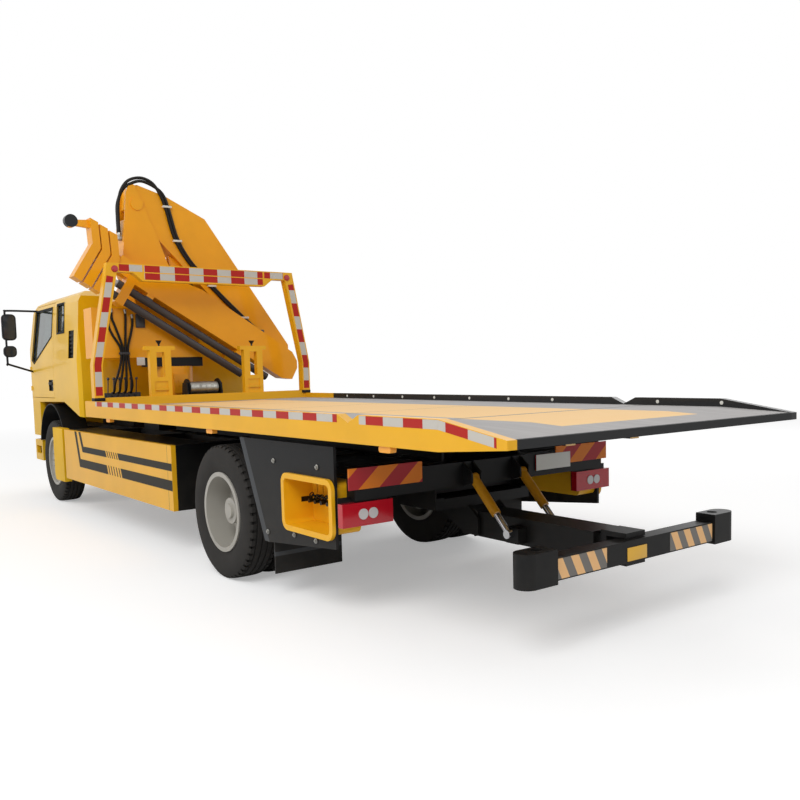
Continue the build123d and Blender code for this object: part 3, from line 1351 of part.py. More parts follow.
# Guard arch on the deck rails
with BuildPart() as guard_arch:
    outer = [
        (-deck_half_width, deck_rail_top_z), (-deck_half_width, arch_knee_z),
        (-arch_corner_y, arch_roof_z), (arch_corner_y, arch_roof_z),
        (deck_half_width, arch_knee_z), (deck_half_width, deck_rail_top_z),
    ]
    post_inner = deck_half_width - arch_tube
    corner_inner = arch_corner_y - arch_tube
    arch_underside_z = arch_roof_z - arch_end_depth
    inner = [
        (-post_inner, deck_rail_top_z - 5), (-post_inner, arch_knee_z - 5),
        (-corner_inner, arch_underside_z), (-arch_mid_half - 100, arch_underside_z),
        (-arch_mid_half, arch_roof_z - arch_mid_depth), (arch_mid_half, arch_roof_z - arch_mid_depth),
        (arch_mid_half + 100, arch_underside_z), (corner_inner, arch_underside_z),
        (post_inner, arch_knee_z - 5), (post_inner, deck_rail_top_z - 5),
    ]
    cross_profile(outer, arch_x - arch_tube / 2, arch_x + arch_tube / 2)
    cross_profile(inner, arch_x - arch_tube, arch_x + arch_tube, mode=Mode.SUBTRACT)
keep(guard_arch, "guard_arch")

# Two ladder stands on the header beam
with BuildPart() as ladder_stands:
    for side in (1, -1):
        y = side * stand_y
        half = stand_width / 2
        block(header_x - stand_depth / 2, header_x + stand_depth / 2, y - half, y + half,
              header_top_z, stand_top_z)
        block(header_x - stand_depth, header_x + stand_depth, y - half + stand_post,
              y + half - stand_post, stand_slot_bottom_z, stand_slot_top_z, mode=Mode.SUBTRACT)
        block(header_x - stand_depth / 2, header_x + stand_depth / 2, y - stand_cap_length / 2,
              y + stand_cap_length / 2, stand_top_z - stand_cap_thickness, stand_top_z)
        block(header_x - stand_depth, header_x - stand_depth / 2 + 12, y - half + 45,
              y + half - 45, header_top_z + 25, stand_slot_bottom_z - 45, mode=Mode.SUBTRACT)
        block(header_x - stand_depth / 2 - 10, header_x - stand_depth / 2, y - half + 45,
              y + half - 45, header_top_z + 60, header_top_z + 78)
        rod((header_x, y, stand_top_z), (header_x, y, stand_top_z + 25), 10)
        knob = Plane(origin=(header_x, y, stand_top_z + 42), z_dir=(0, 0, 1))
        with BuildSketch(knob.offset(-19), mode=Mode.PRIVATE) as knob_foot:
            Circle(12)
        with BuildSketch(knob.offset(18), mode=Mode.PRIVATE) as knob_top:
            Circle(34)
        loft(sections=[knob_foot.sketch, knob_top.sketch])
keep(ladder_stands, "ladder_stands")

# Winch frame on the deck front and its drum
shaft_half = winch_half_length + winch_plate
with BuildPart() as winch_frame:
    block(winch_x - 95, winch_x + 95, -shaft_half, shaft_half, deck_floor_z, deck_floor_z + 20)
    for side in (1, -1):
        y0 = side * winch_half_length
        y1 = side * shaft_half
        side_profile([(winch_x - 95, deck_floor_z), (winch_x + 95, deck_floor_z),
                      (winch_x + 60, winch_z + 60), (winch_x - 60, winch_z + 60)],
                     min(y0, y1), max(y0, y1))
        rod((winch_x, y0 - side, winch_z), (winch_x, y1 + side, winch_z),
            winch_shaft_radius + pin_gap, mode=Mode.SUBTRACT)
keep(winch_frame, "winch_frame")
with BuildPart() as winch_drum:
    half = winch_half_length - 3
    drum_outline = [
        (-half, winch_shaft_radius), (-half, winch_flange_radius),
        (-half + 12, winch_flange_radius), (-half + 12, winch_drum_radius),
        (half - 12, winch_drum_radius), (half - 12, winch_flange_radius),
        (half, winch_flange_radius), (half, winch_shaft_radius),
        (shaft_half, winch_shaft_radius), (shaft_half, 0), (-shaft_half, 0),
        (-shaft_half, winch_shaft_radius),
    ]
    turned((winch_x, 0, winch_z), drum_outline)
keep(winch_drum, "winch_drum")

# Crane base on the chassis, slew ring and pedestal
with BuildPart() as crane_base:
    block(crane_x - 230, crane_x + 230, -rail_outer_y, rail_outer_y, rail_top_z, 1190)
    cross_profile([(slew_y - 300, 1190), (slew_y + 260, 1190), (slew_y + 215, 1320),
                   (slew_y - 215, 1320)], crane_x - 225, crane_x + 225)
    rod((crane_x, slew_y, 1310), (crane_x, slew_y, slew_bottom_z), slew_radius - 20)
    # Square cover on the pedestal's rear
    block(crane_x - slew_radius + 3, crane_x - 150, slew_y - 80, slew_y + 80, 1345, 1560)
    block(crane_x - slew_radius - 3, crane_x - slew_radius + 5, slew_y - 35, slew_y + 35, 1420, 1500)
keep(crane_base, "crane_base")
with BuildPart() as slew_ring:
    rod((crane_x, slew_y, slew_bottom_z), (crane_x, slew_y, slew_top_z - slide_gap),
        slew_ring_radius)
    block(crane_x - slew_ring_half, crane_x + slew_ring_half, slew_y - slew_ring_radius - 5,
          slew_y + slew_ring_radius + 5, slew_bottom_z, slew_top_z - slide_gap,
          mode=Mode.INTERSECT)
keep(slew_ring, "slew_ring")

# Control valve block on a shelf beside the pedestal, with its levers
with BuildPart() as valve_bank:
    block(crane_x - 50, crane_x + 50, rail_outer_y, valve_y[1], shelf_bottom_z, shelf_top_z)
    block(crane_x - valve_half, crane_x + valve_half, *valve_y, shelf_top_z, valve_top_z)
    for index in range(lever_count):
        lever_y = valve_y[0] + 45 + index * lever_pitch
        block(crane_x - valve_half - 30, crane_x - valve_half + 5, lever_y - 20, lever_y + 20,
              shelf_top_z + 40, valve_top_z - 20)
        rod((crane_x - 60, lever_y, valve_top_z - 5), (crane_x - 90, lever_y, valve_top_z + 150), 6)
        with Locations((crane_x - 90, lever_y, valve_top_z + 155)):
            Sphere(16)
keep(valve_bank, "valve_bank")

# Crane column: closed box low down, two cheeks round the inner boom's root
column_outline = [
    (-130, slew_top_z), (567, slew_top_z), (567, 2300), (708, 2720), (632, 3540), (590, 3640),
    (530, 3630), (297, 3076), (200, 2800), (-130, 2300),
]
boom_clear_outline = [
    (760, 3800), (760, 3330), (430, 3200), (309, 3064), (-600, 2160), (-1400, 1800), (-1400, 3800),
]
slot_half = boom_half_depth + 3
with BuildPart() as crane_column:
    cross_profile(column_outline, crane_x - column_half_depth, crane_x + column_half_depth)
    cross_profile(boom_clear_outline, crane_x - slot_half, crane_x + slot_half,
                  mode=Mode.SUBTRACT)
    rod((crane_x - slot_half, apex_y, apex_z), (crane_x + slot_half, apex_y, apex_z), 226,
        mode=Mode.SUBTRACT)
    rod((crane_x - column_half_depth, apex_y, apex_z),
        (crane_x + column_half_depth, apex_y, apex_z), apex_pin_radius)
    rod((crane_x - column_half_depth - pin_head, apex_y, apex_z),
        (crane_x - column_half_depth + 2, apex_y, apex_z), apex_pin_radius + 25)
    rod((crane_x + column_half_depth - 2, apex_y, apex_z),
        (crane_x + column_half_depth + pin_head, apex_y, apex_z), apex_pin_radius + 25)
    block(crane_x - column_half_depth, crane_x + column_half_depth, 560, tank_outer_y,
          slew_top_z, tank_top_z)
keep(crane_column, "crane_column")

# Inner boom from the apex pin down to the knuckle pin
inner_boom_outline = [
    (610, 3380), (590, 3600), (500, 3640), (192, 3552), (-275, 3336), (-1306, 1893),
    (-1310, 1720), (-1220, 1610), (-1080, 1640), (-960, 1790), (-586, 2175), (297, 3076),
    (450, 3320),
]
knuckle_pin_rear = outer_boom_x - outer_boom_half_depth
with BuildPart() as inner_boom:
    cross_profile(inner_boom_outline, crane_x - boom_half_depth, crane_x + boom_half_depth)
    rod((crane_x - 200, apex_y, apex_z), (crane_x + 200, apex_y, apex_z),
        apex_pin_radius + pin_gap, mode=Mode.SUBTRACT)
    rod((knuckle_pin_rear, knuckle_y, knuckle_z), (crane_x - boom_half_depth + 5, knuckle_y,
        knuckle_z), knuckle_pin_radius)
    base_y, base_z = fold_ram_base
    for side in (1, -1):
        lug_x = crane_x + side * (ram_eye_half + 1)
        cross_profile([(base_y + 64, base_z + 150), (base_y + 44, base_z - 30),
                       (base_y, base_z - 44), (base_y - 44, base_z - 20),
                       (base_y - 86, base_z + 50)],
                      min(lug_x, lug_x + side * ram_lug_thickness),
                      max(lug_x, lug_x + side * ram_lug_thickness))
    reach = ram_eye_half + 1 + ram_lug_thickness
    rod((crane_x - reach, base_y, base_z), (crane_x + reach, base_y, base_z), fold_pin_radius)
keep(inner_boom, "inner_boom")

# Fold ram below the inner boom
fold_path = Vector(0, fold_ram_eye[0] - fold_ram_base[0], fold_ram_eye[1] - fold_ram_base[1])
fold_unit = fold_path.normalized()


def fold_point(distance):
    """Point on the fold ram's line at a distance from its base pin."""
    return (crane_x, fold_ram_base[0] + fold_unit.Y * distance,
            fold_ram_base[1] + fold_unit.Z * distance)


with BuildPart() as fold_barrel:
    rod((crane_x - ram_eye_half, base_y, base_z), (crane_x + ram_eye_half, base_y, base_z),
        0.8 * fold_ram_radius)
    rod(fold_point(70), fold_point(fold_barrel_length), fold_ram_radius)
    rod(fold_point(0), fold_point(80), ram_eye_half - 2)
    rod((crane_x - 60, base_y, base_z), (crane_x + 60, base_y, base_z),
        fold_pin_radius + pin_gap, mode=Mode.SUBTRACT)
    rod(fold_point(90), fold_point(fold_barrel_length + 1), fold_rod_radius + pin_gap,
        mode=Mode.SUBTRACT)
keep(fold_barrel, "fold_barrel")
with BuildPart() as fold_rod:
    eye_y, eye_z = fold_ram_eye
    rod(fold_point(120), fold_point(fold_path.length), fold_rod_radius)
    rod((crane_x - ram_eye_half, eye_y, eye_z), (crane_x + ram_eye_half, eye_y, eye_z),
        fold_rod_radius + 8)
keep(fold_rod, "fold_rod")

# Outer boom: box section that the stages slide in
tilt = radians(outer_boom_tilt)
outer_boom_outline = [
    (738, 2580), (690, 2660), (514, 2719), (-107, 2506), (-1235, 1797), (-1296, 1690),
    (-1296, 1600), (-1221, 1467), (-1084, 1483),
]


def boom_point(along, across, x=outer_boom_x):
    """Point beside the stage axis: along it towards the tip, and across it upwards."""
    return (x, stage_axis_y + along * cos(tilt) - across * sin(tilt),
            stage_axis_z + along * sin(tilt) + across * cos(tilt))


def boom_prism(points, half_depth, mode=Mode.ADD):
    """Extrude an outline of (along, across) points about the outer boom's plane."""
    outline = [boom_point(along, across)[1:] for along, across in points]
    cross_profile(outline, outer_boom_x - half_depth, outer_boom_x + half_depth, mode=mode)


def boom_box(start, end, half_height, half_depth, mode=Mode.ADD):
    """Straight box section centred on the stage axis."""
    boom_prism([(start, -half_height), (end, -half_height), (end, half_height),
                (start, half_height)], half_depth, mode)


# half height, half depth and start of each stage's tube
stage_table = (
    (92, 64, -1750),
    (76, 50, -1700),
    (60, 36, -1650),
)
ram_one_across = -195
ram_two_across = -325
with BuildPart() as outer_boom:
    cross_profile(outer_boom_outline, outer_boom_x - outer_boom_half_depth,
                  outer_boom_x + outer_boom_half_depth)
    boom_box(-1800, 400, stage_table[0][0] + slide_gap, stage_table[0][1] + slide_gap,
             mode=Mode.SUBTRACT)
    rod((knuckle_pin_rear - 5, knuckle_y, knuckle_z), (crane_x, knuckle_y, knuckle_z),
        knuckle_pin_radius + pin_gap, mode=Mode.SUBTRACT)
    for along in (-1500, -300):
        boom_box_points = [(along - 40, ram_one_across), (along + 40, ram_one_across),
                           (along + 40, -110), (along - 40, -110)]
        boom_prism(boom_box_points, outer_boom_half_depth - 5)
    # Collar at the boom's end that guides the second extension tube
    collar = [boom_point(along, across)[1:]
              for along, across in ((-95, -390), (0, -390), (0, -110), (-95, -110))]
    cross_profile(collar, extension_ram_x - 60, outer_boom_x + outer_boom_half_depth)
    rod(boom_point(-120, ram_two_across, extension_ram_x),
        boom_point(20, ram_two_across, extension_ram_x), extension_ram_radius + slide_gap,
        mode=Mode.SUBTRACT)
    rod(boom_point(-1950, ram_one_across, extension_ram_x),
        boom_point(60, ram_one_across, extension_ram_x), extension_ram_radius)
    rod(boom_point(-1700, ram_one_across, extension_ram_x),
        boom_point(70, ram_one_across, extension_ram_x),
        extension_rod_radius + pin_gap, mode=Mode.SUBTRACT)
    rod((outer_boom_x + outer_boom_half_depth - 5, eye_y, eye_z),
        (crane_x - ram_eye_half - 2, eye_y, eye_z), fold_pin_radius + 8)
keep(outer_boom, "outer_boom")

head_outline = [
    (0, -390), (head_thickness, -390), (head_thickness, 20), (240, 232), (150, 240), (0, 20),
]
for index, (half_height, half_depth, start) in enumerate(stage_table):
    head_along = first_head_along + index * head_pitch
    with BuildPart() as stage:
        boom_box(start, head_along + 5, half_height, half_depth)
        boom_prism([(head_along + along, across) for along, across in head_outline],
                   outer_boom_half_depth)
        if index < 2:
            inner_height, inner_depth, inner_start = stage_table[index + 1]
            boom_box(start - 5, head_along + 300, inner_height + slide_gap,
                     inner_depth + slide_gap, mode=Mode.SUBTRACT)
        if index == 0:
            rod(boom_point(-1600, ram_one_across, extension_ram_x),
                boom_point(head_along + 2, ram_one_across, extension_ram_x),
                extension_rod_radius)
            rod(boom_point(-1650, ram_two_across, extension_ram_x),
                boom_point(head_along + 2, ram_two_across, extension_ram_x),
                extension_ram_radius)
            rod(boom_point(-1600, ram_two_across, extension_ram_x),
                boom_point(head_along + 300, ram_two_across, extension_ram_x),
                extension_rod_radius + pin_gap, mode=Mode.SUBTRACT)
        if index == 1:
            rod(boom_point(-1450, ram_two_across, extension_ram_x),
                boom_point(head_along + 2, ram_two_across, extension_ram_x),
                extension_rod_radius)
        if index == 2:
            # Bracket at the head's top with the hoist rope pulley
            boom_prism([(head_along + 150, 170), (head_along + 340, 80),
                        (head_along + 360, 130), (head_along + 190, 250)], 30)
            pulley = boom_point(head_along + 370, 110)
            rod((outer_boom_x - 34, *pulley[1:]), (outer_boom_x + 34, *pulley[1:]), 66)
    keep(stage, f"boom_stage_{index + 1}")
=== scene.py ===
# %% [markdown]
# # A slide-deck tow truck with a folding crane
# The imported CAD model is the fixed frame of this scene: every wheel, beam and boom is already in
# its place. Blender adds what a designer leaves to the finish: paint, rubber and glass, tyre tread,
# reflective tape, lamps, hoses and small fittings. All lengths are metres, X points forward,
# Y to the truck's left and Z up.

from math import atan2, cos, pi, radians, sin

import bmesh
import bpy
from mathutils import Matrix, Vector


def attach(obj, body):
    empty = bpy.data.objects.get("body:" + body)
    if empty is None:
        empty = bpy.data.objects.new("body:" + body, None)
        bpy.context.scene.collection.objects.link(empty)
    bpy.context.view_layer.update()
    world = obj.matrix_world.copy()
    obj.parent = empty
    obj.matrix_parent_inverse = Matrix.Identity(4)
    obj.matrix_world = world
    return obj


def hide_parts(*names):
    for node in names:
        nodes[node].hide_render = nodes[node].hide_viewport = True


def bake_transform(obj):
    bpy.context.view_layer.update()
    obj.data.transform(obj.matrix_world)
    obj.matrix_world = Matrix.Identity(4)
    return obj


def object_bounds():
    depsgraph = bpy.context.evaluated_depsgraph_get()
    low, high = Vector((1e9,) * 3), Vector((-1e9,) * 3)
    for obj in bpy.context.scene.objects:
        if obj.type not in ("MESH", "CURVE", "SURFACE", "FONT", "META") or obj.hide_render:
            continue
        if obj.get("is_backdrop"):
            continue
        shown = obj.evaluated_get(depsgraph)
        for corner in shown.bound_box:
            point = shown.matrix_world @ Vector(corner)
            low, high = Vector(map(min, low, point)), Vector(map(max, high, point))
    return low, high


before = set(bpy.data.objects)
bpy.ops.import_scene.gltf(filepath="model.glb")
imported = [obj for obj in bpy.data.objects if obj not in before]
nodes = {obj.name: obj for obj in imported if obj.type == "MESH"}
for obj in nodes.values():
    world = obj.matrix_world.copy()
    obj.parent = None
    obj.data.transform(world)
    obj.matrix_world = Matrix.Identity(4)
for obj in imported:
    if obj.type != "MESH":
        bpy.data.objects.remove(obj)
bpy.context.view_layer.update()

# %% [markdown]
# ## The camera
# The photograph was taken from behind and to the left, at about eye height and quite close, so the
# deck grows towards the viewer. The camera's place, its turn and its lens were worked out from the
# wheels and the deck's corners. A small lens shift puts the truck where the photograph has it.

# %% Camera
scene = bpy.context.scene
view_yaw, view_pitch, view_roll = radians(-37.55), radians(-4.69), radians(-1.42)
ahead = Vector((cos(view_pitch) * cos(view_yaw), cos(view_pitch) * sin(view_yaw), sin(view_pitch)))
level_right = Vector((sin(view_yaw), -cos(view_yaw), 0))
level_up = level_right.cross(ahead)
right = level_right * cos(view_roll) + level_up * sin(view_roll)
up = right.cross(ahead)
camera_data = bpy.data.cameras.new("photo_camera")
camera_data.sensor_width = 36.0
camera_data.lens = 37.42
camera_data.shift_x = -0.0194
camera_data.shift_y = 0.0467
camera = bpy.data.objects.new("photo_camera", camera_data)
scene.collection.objects.link(camera)
turn = Matrix((right, up, -ahead)).transposed()
camera.matrix_world = Matrix.Translation((-7.453, 3.810, 1.550)) @ turn.to_4x4()
scene.camera = camera
print("camera looks along", [round(v, 3) for v in ahead])

# %% [markdown]
# ## Building materials from nodes
# Colours are written as the hex values that a screen shows, and one function turns them to the
# linear light that a renderer adds up. A second function adds a node with its settings, values
# and links, so each material below reads as a short recipe. Two more start a material and link
# its surface.


# %% Colour and node helpers
def colour(code):
    """Linear RGBA of an sRGB hex value."""
    parts = [int(code[i:i + 2], 16) / 255 for i in (1, 3, 5)]
    linear = [p / 12.92 if p <= 0.04045 else ((p + 0.055) / 1.055) ** 2.4 for p in parts]
    return (*linear, 1.0)


def add_node(tree, kind, settings=None, values=None, links=None):
    """Add a node, set its options and sockets, and link sockets as {input: (node, output)}."""
    node = tree.nodes.new(kind)
    for name, value in (settings or {}).items():
        setattr(node, name, value)
    for name, value in (values or {}).items():
        node.inputs[name].default_value = value
    for name, (source, output) in (links or {}).items():
        tree.links.new(source.outputs[output], node.inputs[name])
    return node


def new_material(name):
    """Empty node material and its tree."""
    material = bpy.data.materials.new(name)
    material.use_nodes = True
    material.node_tree.nodes.clear()
    return material, material.node_tree


def surfaced(material, shader):
    """The material, with a shader node linked to its output."""
    add_node(material.node_tree, "ShaderNodeOutputMaterial", links={"Surface": (shader, 0)})
    return material


# %% [markdown]
# ## Masked areas
# A painter masks off an area before the second colour goes on. A zone does the same: it is a list
# of slabs, each a direction with a nearest and a farthest distance, and it is 1 only where a point
# lies within all of them. The points are the object's own, so a zone moves with its piece.


# %% Zones in object coordinates
def zone_mask(tree, coords, slabs):
    """Node whose value is 1 inside all slabs (direction, low, high), else 0."""
    mask = None
    for direction, low, high in slabs:
        along = add_node(tree, "ShaderNodeVectorMath", {"operation": "DOT_PRODUCT"},
                         {1: direction}, {0: (coords, "Object")})
        inside = add_node(tree, "ShaderNodeMath", {"operation": "COMPARE"},
                          {1: (low + high) / 2, 2: (high - low) / 2}, {0: (along, "Value")})
        if mask is not None:
            inside = add_node(tree, "ShaderNodeMath", {"operation": "MULTIPLY"},
                              links={0: (mask, "Value"), 1: (inside, "Value")})
        mask = inside
    return mask


def lay_over(tree, coords, last, zones):
    """Node with each zone's colour laid over the colour of the node before it."""
    for code, slabs in zones:
        mask = zone_mask(tree, coords, slabs)
        last = add_node(tree, "ShaderNodeMixRGB", values={"Color2": colour(code)},
                        links={"Fac": (mask, "Value"), "Color1": (last, "Color")})
    return last


def zoned_colour(tree, coords, base, zones):
    """Node with the base colour and each zone's colour laid over it."""
    plain = add_node(tree, "ShaderNodeMixRGB", values={"Fac": 0.0, "Color1": colour(base)})
    return lay_over(tree, coords, plain, zones)


# %% [markdown]
# ## Paint
# Truck paint is sprayed two-pack enamel: a solid colour under a glossy film with faint orange peel.
# Large panels are never quite one tone, so a slow noise shifts the colour a little, and road dust
# gathers low down. The dust is a brown mixed in by height above the ground and broken up by noise.
# The slow tone and the fine bump come back in other finishes, so each is a function of its own.


# %% Paint recipe
def slow_tone(tree, coords, scale, detail, tone):
    """Node whose value drifts slowly about 1, by tone each way at most."""
    slow = add_node(tree, "ShaderNodeTexNoise", values={"Scale": scale, "Detail": detail},
                    links={"Vector": (coords, "Object")})
    return add_node(tree, "ShaderNodeMapRange",
                    values={"From Min": 0.3, "From Max": 0.7, "To Min": 1 - tone, "To Max": 1 + tone},
                    links={"Value": (slow, "Fac")})


def fine_bump(tree, coords, per_metre, strength, depth=0.001, detail=2.0, cells=False):
    """Bump from a grain, or from round cells, with so many to the metre."""
    kind, height = ("ShaderNodeTexVoronoi", "Distance") if cells else ("ShaderNodeTexNoise", "Fac")
    grain = add_node(tree, kind, values={"Scale": per_metre}, links={"Vector": (coords, "Object")})
    if not cells:
        grain.inputs["Detail"].default_value = detail
    return add_node(tree, "ShaderNodeBump", values={"Strength": strength, "Distance": depth},
                    links={"Height": (grain, height)})


def sprayed_enamel(name, base, roughness=0.36, coat=0.2, dust=0.0, dust_top=1.0, specular=0.3,
                   zones=()):
    """Glossy sprayed enamel with slow tone changes, orange peel, masked areas and dust low down."""
    material, tree = new_material(name)
    coords = add_node(tree, "ShaderNodeTexCoord")
    masked = zoned_colour(tree, coords, base, zones)
    drift = slow_tone(tree, coords, 2.2, 4.0, 0.06)
    tint = add_node(tree, "ShaderNodeHueSaturation",
                    links={"Value": (drift, "Result"), "Color": (masked, "Color")})
    place = add_node(tree, "ShaderNodeSeparateXYZ", links={"Vector": (coords, "Object")})
    low = add_node(tree, "ShaderNodeMapRange",
                   values={"From Min": dust_top, "From Max": 0.1, "To Min": 0.0, "To Max": dust},
                   links={"Value": (place, "Z")})
    broken = add_node(tree, "ShaderNodeTexNoise", values={"Scale": 9.0, "Detail": 8.0},
                      links={"Vector": (coords, "Object")})
    amount = add_node(tree, "ShaderNodeMath", {"operation": "MULTIPLY"},
                      links={0: (low, "Result"), 1: (broken, "Fac")})
    dusty = add_node(tree, "ShaderNodeMixRGB", values={"Color2": colour("#8A8273")},
                     links={"Fac": (amount, "Value"), "Color1": (tint, "Color")})
    # Orange peel is about 4 mm across
    bump = fine_bump(tree, coords, 250.0, 0.02, detail=1.0)
    return surfaced(material, add_node(
        tree, "ShaderNodeBsdfPrincipled",
        values={"Roughness": roughness, "Specular IOR Level": specular, "Coat Weight": coat,
                "Coat Roughness": 0.08},
        links={"Normal": (bump, "Normal"), "Base Color": (dusty, "Color")}))


# %% [markdown]
# ## The truck's colours
# Cab, body and crane each have a yellow of their own. Many CAD pieces have two colours, such as an
# orange boom with a dark pipe along it, and their zones say where the second colour lies. The booms
# lean, so their zones are given by distances along and across them.

# %% Colours and directions
X, Y, Z = (1, 0, 0), (0, 1, 0), (0, 0, 1)
cab_yellow, body_yellow, crane_yellow = "#E6B40A", "#EDB018", "#EFA30C"
black, amber, tube_grey, rod_grey = "#0C0D0F", "#F5A83C", "#3E3A3B", "#B9BBBE"
middle_band_tan, plate_white = "#F2C88A", "#D8D8D2"
# The cab's sides lean inward by this much for each metre of height
side_lean = 0.0746
# The booms lean 31.2 degrees, and their zones are measured from this y and z
boom_tilt, boom_y, boom_z = radians(31.2), 0.677, 2.680
along_boom = (0, cos(boom_tilt), sin(boom_tilt))
across_boom = (0, -sin(boom_tilt), cos(boom_tilt))
axis_along = boom_y * cos(boom_tilt) + boom_z * sin(boom_tilt)
axis_across = -boom_y * sin(boom_tilt) + boom_z * cos(boom_tilt)


def on_boom(along_low, along_high, across_low, across_high, x_low=1.50, x_high=1.6245):
    """Slabs of a zone given along and across the booms."""
    return [(along_boom, axis_along + along_low, axis_along + along_high),
            (across_boom, axis_across + across_low, axis_across + across_high),
            (X, x_low, x_high)]


# %% Cab and body enamels
# What lies deeper than the cab's skin inside an opening is a black reveal
cab_zones = [(black, [(Y, low, high), (X, 3.495, 3.705), (Z, 1.385, 1.532)])
             for low, high in ((1.0, 1.0495), (-1.0495, -1.0))]
openings = [((3.45, 4.50), (1.745, 2.42)), ((2.965, 3.295), (2.085, 2.44)),
            ((2.615, 2.845), (1.770, 2.100))]
for side in (1, -1):
    cab_zones += [(black, [((0, side, side_lean), 0.9, 1.1745), (X, *x_range), (Z, *z_range)])
                  for x_range, z_range in openings]
cab_enamel = sprayed_enamel("cab_yellow_enamel", cab_yellow, dust=0.1, dust_top=1.3, zones=cab_zones)
body_enamel = sprayed_enamel("body_yellow_enamel", body_yellow)
skirt_enamel = sprayed_enamel(
    "side_box_enamel", body_yellow, dust=0.15,
    zones=[(black, [(Y, -1.16, 1.16)]), ("#5A4410", [(X, -0.589, -0.583)])])
basket_enamel = sprayed_enamel(
    "chain_basket_enamel", body_yellow,
    zones=[(black, [(Y, *y_range), (Z, 0.695, 0.729)])
           for y_range in ((1.0085, 1.0965), (-1.0965, -1.0085))])
# The right deck rail's black, from the tail to x 0.55, is painted shade; the left rail stays yellow
rail_paint_and_painted_shade = sprayed_enamel(
    "deck_rail_paint_and_painted_shade", body_yellow, dust=0.15,
    zones=[(black, [(Y, -1.2495, -1.10), (X, -4.80, 0.55)]), (amber, [(Z, 0.9, 1.1405)])])
stand_enamel = sprayed_enamel("stand_enamel", body_yellow, zones=[(black, [(Z, 1.8605, 2.0)])])
dull = {"roughness": 0.5, "coat": 0.05, "dust": 0.12, "dust_top": 1.1, "specular": 0.2}
fender_enamel = sprayed_enamel(
    "fender_enamel", black, **dull,
    zones=[(cab_yellow, [(Y, 1.117, 1.3)]), (cab_yellow, [(Y, -1.3, -1.117)])])
guard_enamel = sprayed_enamel(
    "mudguard_enamel", black, **dull,
    zones=[("#3C3F43", [((0.9036, 0, -0.4285), -2.335, -2.26), (Z, 0.3, 1.2)])])
print("cab and body enamels ready")

# %% Crane, chassis and trim enamels
crane_enamel = sprayed_enamel("crane_orange_enamel", crane_yellow, zones=[(black, [(Z, 0.5, 1.14)])])
outer_boom_enamel = sprayed_enamel(
    "outer_boom_enamel", crane_yellow,
    zones=[(tube_grey, on_boom(-2.2, -0.0955, -0.2395, -0.1505)),
           (tube_grey, on_boom(0.0005, 0.2, -0.2395, -0.1505))])
stage_one_enamel = sprayed_enamel(
    "first_stage_enamel", crane_yellow,
    zones=[(tube_grey, on_boom(-2.2, 0.1545, -0.3695, -0.2805)),
           (rod_grey, on_boom(-2.2, 0.1545, -0.2235, -0.1665))])
stage_two_enamel = sprayed_enamel(
    "second_stage_enamel", crane_yellow,
    zones=[(rod_grey, on_boom(-2.2, 0.2665, -0.3535, -0.2965))])
stage_three_enamel = sprayed_enamel(
    "third_stage_enamel", crane_yellow,
    zones=[(black, on_boom(0.68, 0.90, 0.0, 0.20, 1.58, 1.5899)),
           (black, on_boom(0.68, 0.90, 0.0, 0.20, 1.6501, 1.66)),
           (black, on_boom(0.742, 0.90, 0.0, 0.20, 1.58, 1.66))])
black_enamel = sprayed_enamel("chassis_black_enamel", black, roughness=0.45, coat=0.05, dust=0.08,
                              dust_top=1.1, specular=0.2)
mustard_enamel = sprayed_enamel("mustard_enamel", "#BE8412")
rim_enamel = sprayed_enamel("rim_silver_enamel", "#A9A69E", roughness=0.42, dust=0.35)
stripe_film = sprayed_enamel("dark_stripe_film", "#211F17", roughness=0.5, coat=0.0, specular=0.2)
yellow_film = sprayed_enamel("yellow_reflective_film", "#E8B443", roughness=0.35)
tail_lamp_mould = sprayed_enamel("tail_lamp_moulding", "#B50E20", roughness=0.15, coat=0.8,
                                 zones=[("#C9C6C6", [(X, -3.36, -3.3435)])])
print("enamels ready")

# %% [markdown]
# ## Rubber, plastic, glass and bare metal
# Rubber and moulded plastic are dark but never black: their grain scatters light, so they are
# rough with a fine bump. Glass is a thin tinted pane. Hard chrome on a piston rod is a metal, and
# its colour is all reflection.


# %% Plain material recipe
def grained(name, base, roughness, grain_mm, strength, metallic=0.0, tone=0.15, specular=0.25):
    """Surface with a fine grain of a real size, for rubber, plastic, cast iron and bare metal."""
    material, tree = new_material(name)
    coords = add_node(tree, "ShaderNodeTexCoord")
    drift = slow_tone(tree, coords, 6.0, 5.0, tone)
    tint = add_node(tree, "ShaderNodeHueSaturation", values={"Color": colour(base)},
                    links={"Value": (drift, "Result")})
    bump = fine_bump(tree, coords, 1000.0 / grain_mm, strength)
    return surfaced(material, add_node(
        tree, "ShaderNodeBsdfPrincipled",
        values={"Roughness": roughness, "Metallic": metallic, "Specular IOR Level": specular},
        links={"Normal": (bump, "Normal"), "Base Color": (tint, "Color")}))


tyre_rubber = grained("tyre_rubber", "#2C2A28", 0.85, 3.0, 0.3)
hose_rubber = grained("hose_rubber", "#1C1916", 0.6, 2.0, 0.2)
seal_rubber = grained("seal_rubber", "#0E0F10", 0.7, 2.0, 0.15)
moulded_plastic = grained("moulded_black_plastic", "#101113", 0.55, 1.5, 0.2)
mirror_glass = grained("dark_mirror_glass", "#2A3138", 0.08, 20.0, 0.01, tone=0.05, specular=0.5)
cast_iron = grained("cast_iron", "#3A3836", 0.75, 2.5, 0.4, metallic=0.3)
piston_chrome = grained("hard_chrome", "#C9CBCE", 0.12, 8.0, 0.02, metallic=1.0, tone=0.04)
zinc_steel = grained("zinc_plated_steel", "#A9A8A2", 0.35, 3.0, 0.08, metallic=0.9)
chain_steel = grained("chain_steel", "#2A2826", 0.5, 3.0, 0.2, metallic=0.7)
dark_steel = grained("dark_steel", "#4A4B4E", 0.45, 3.0, 0.12, metallic=0.6)
white_plate = grained("blank_white_plate", plate_white, 0.4, 4.0, 0.03, tone=0.04)
clip_plastic = grained("white_clip_plastic", "#D9D7CE", 0.5, 3.0, 0.05, tone=0.05)


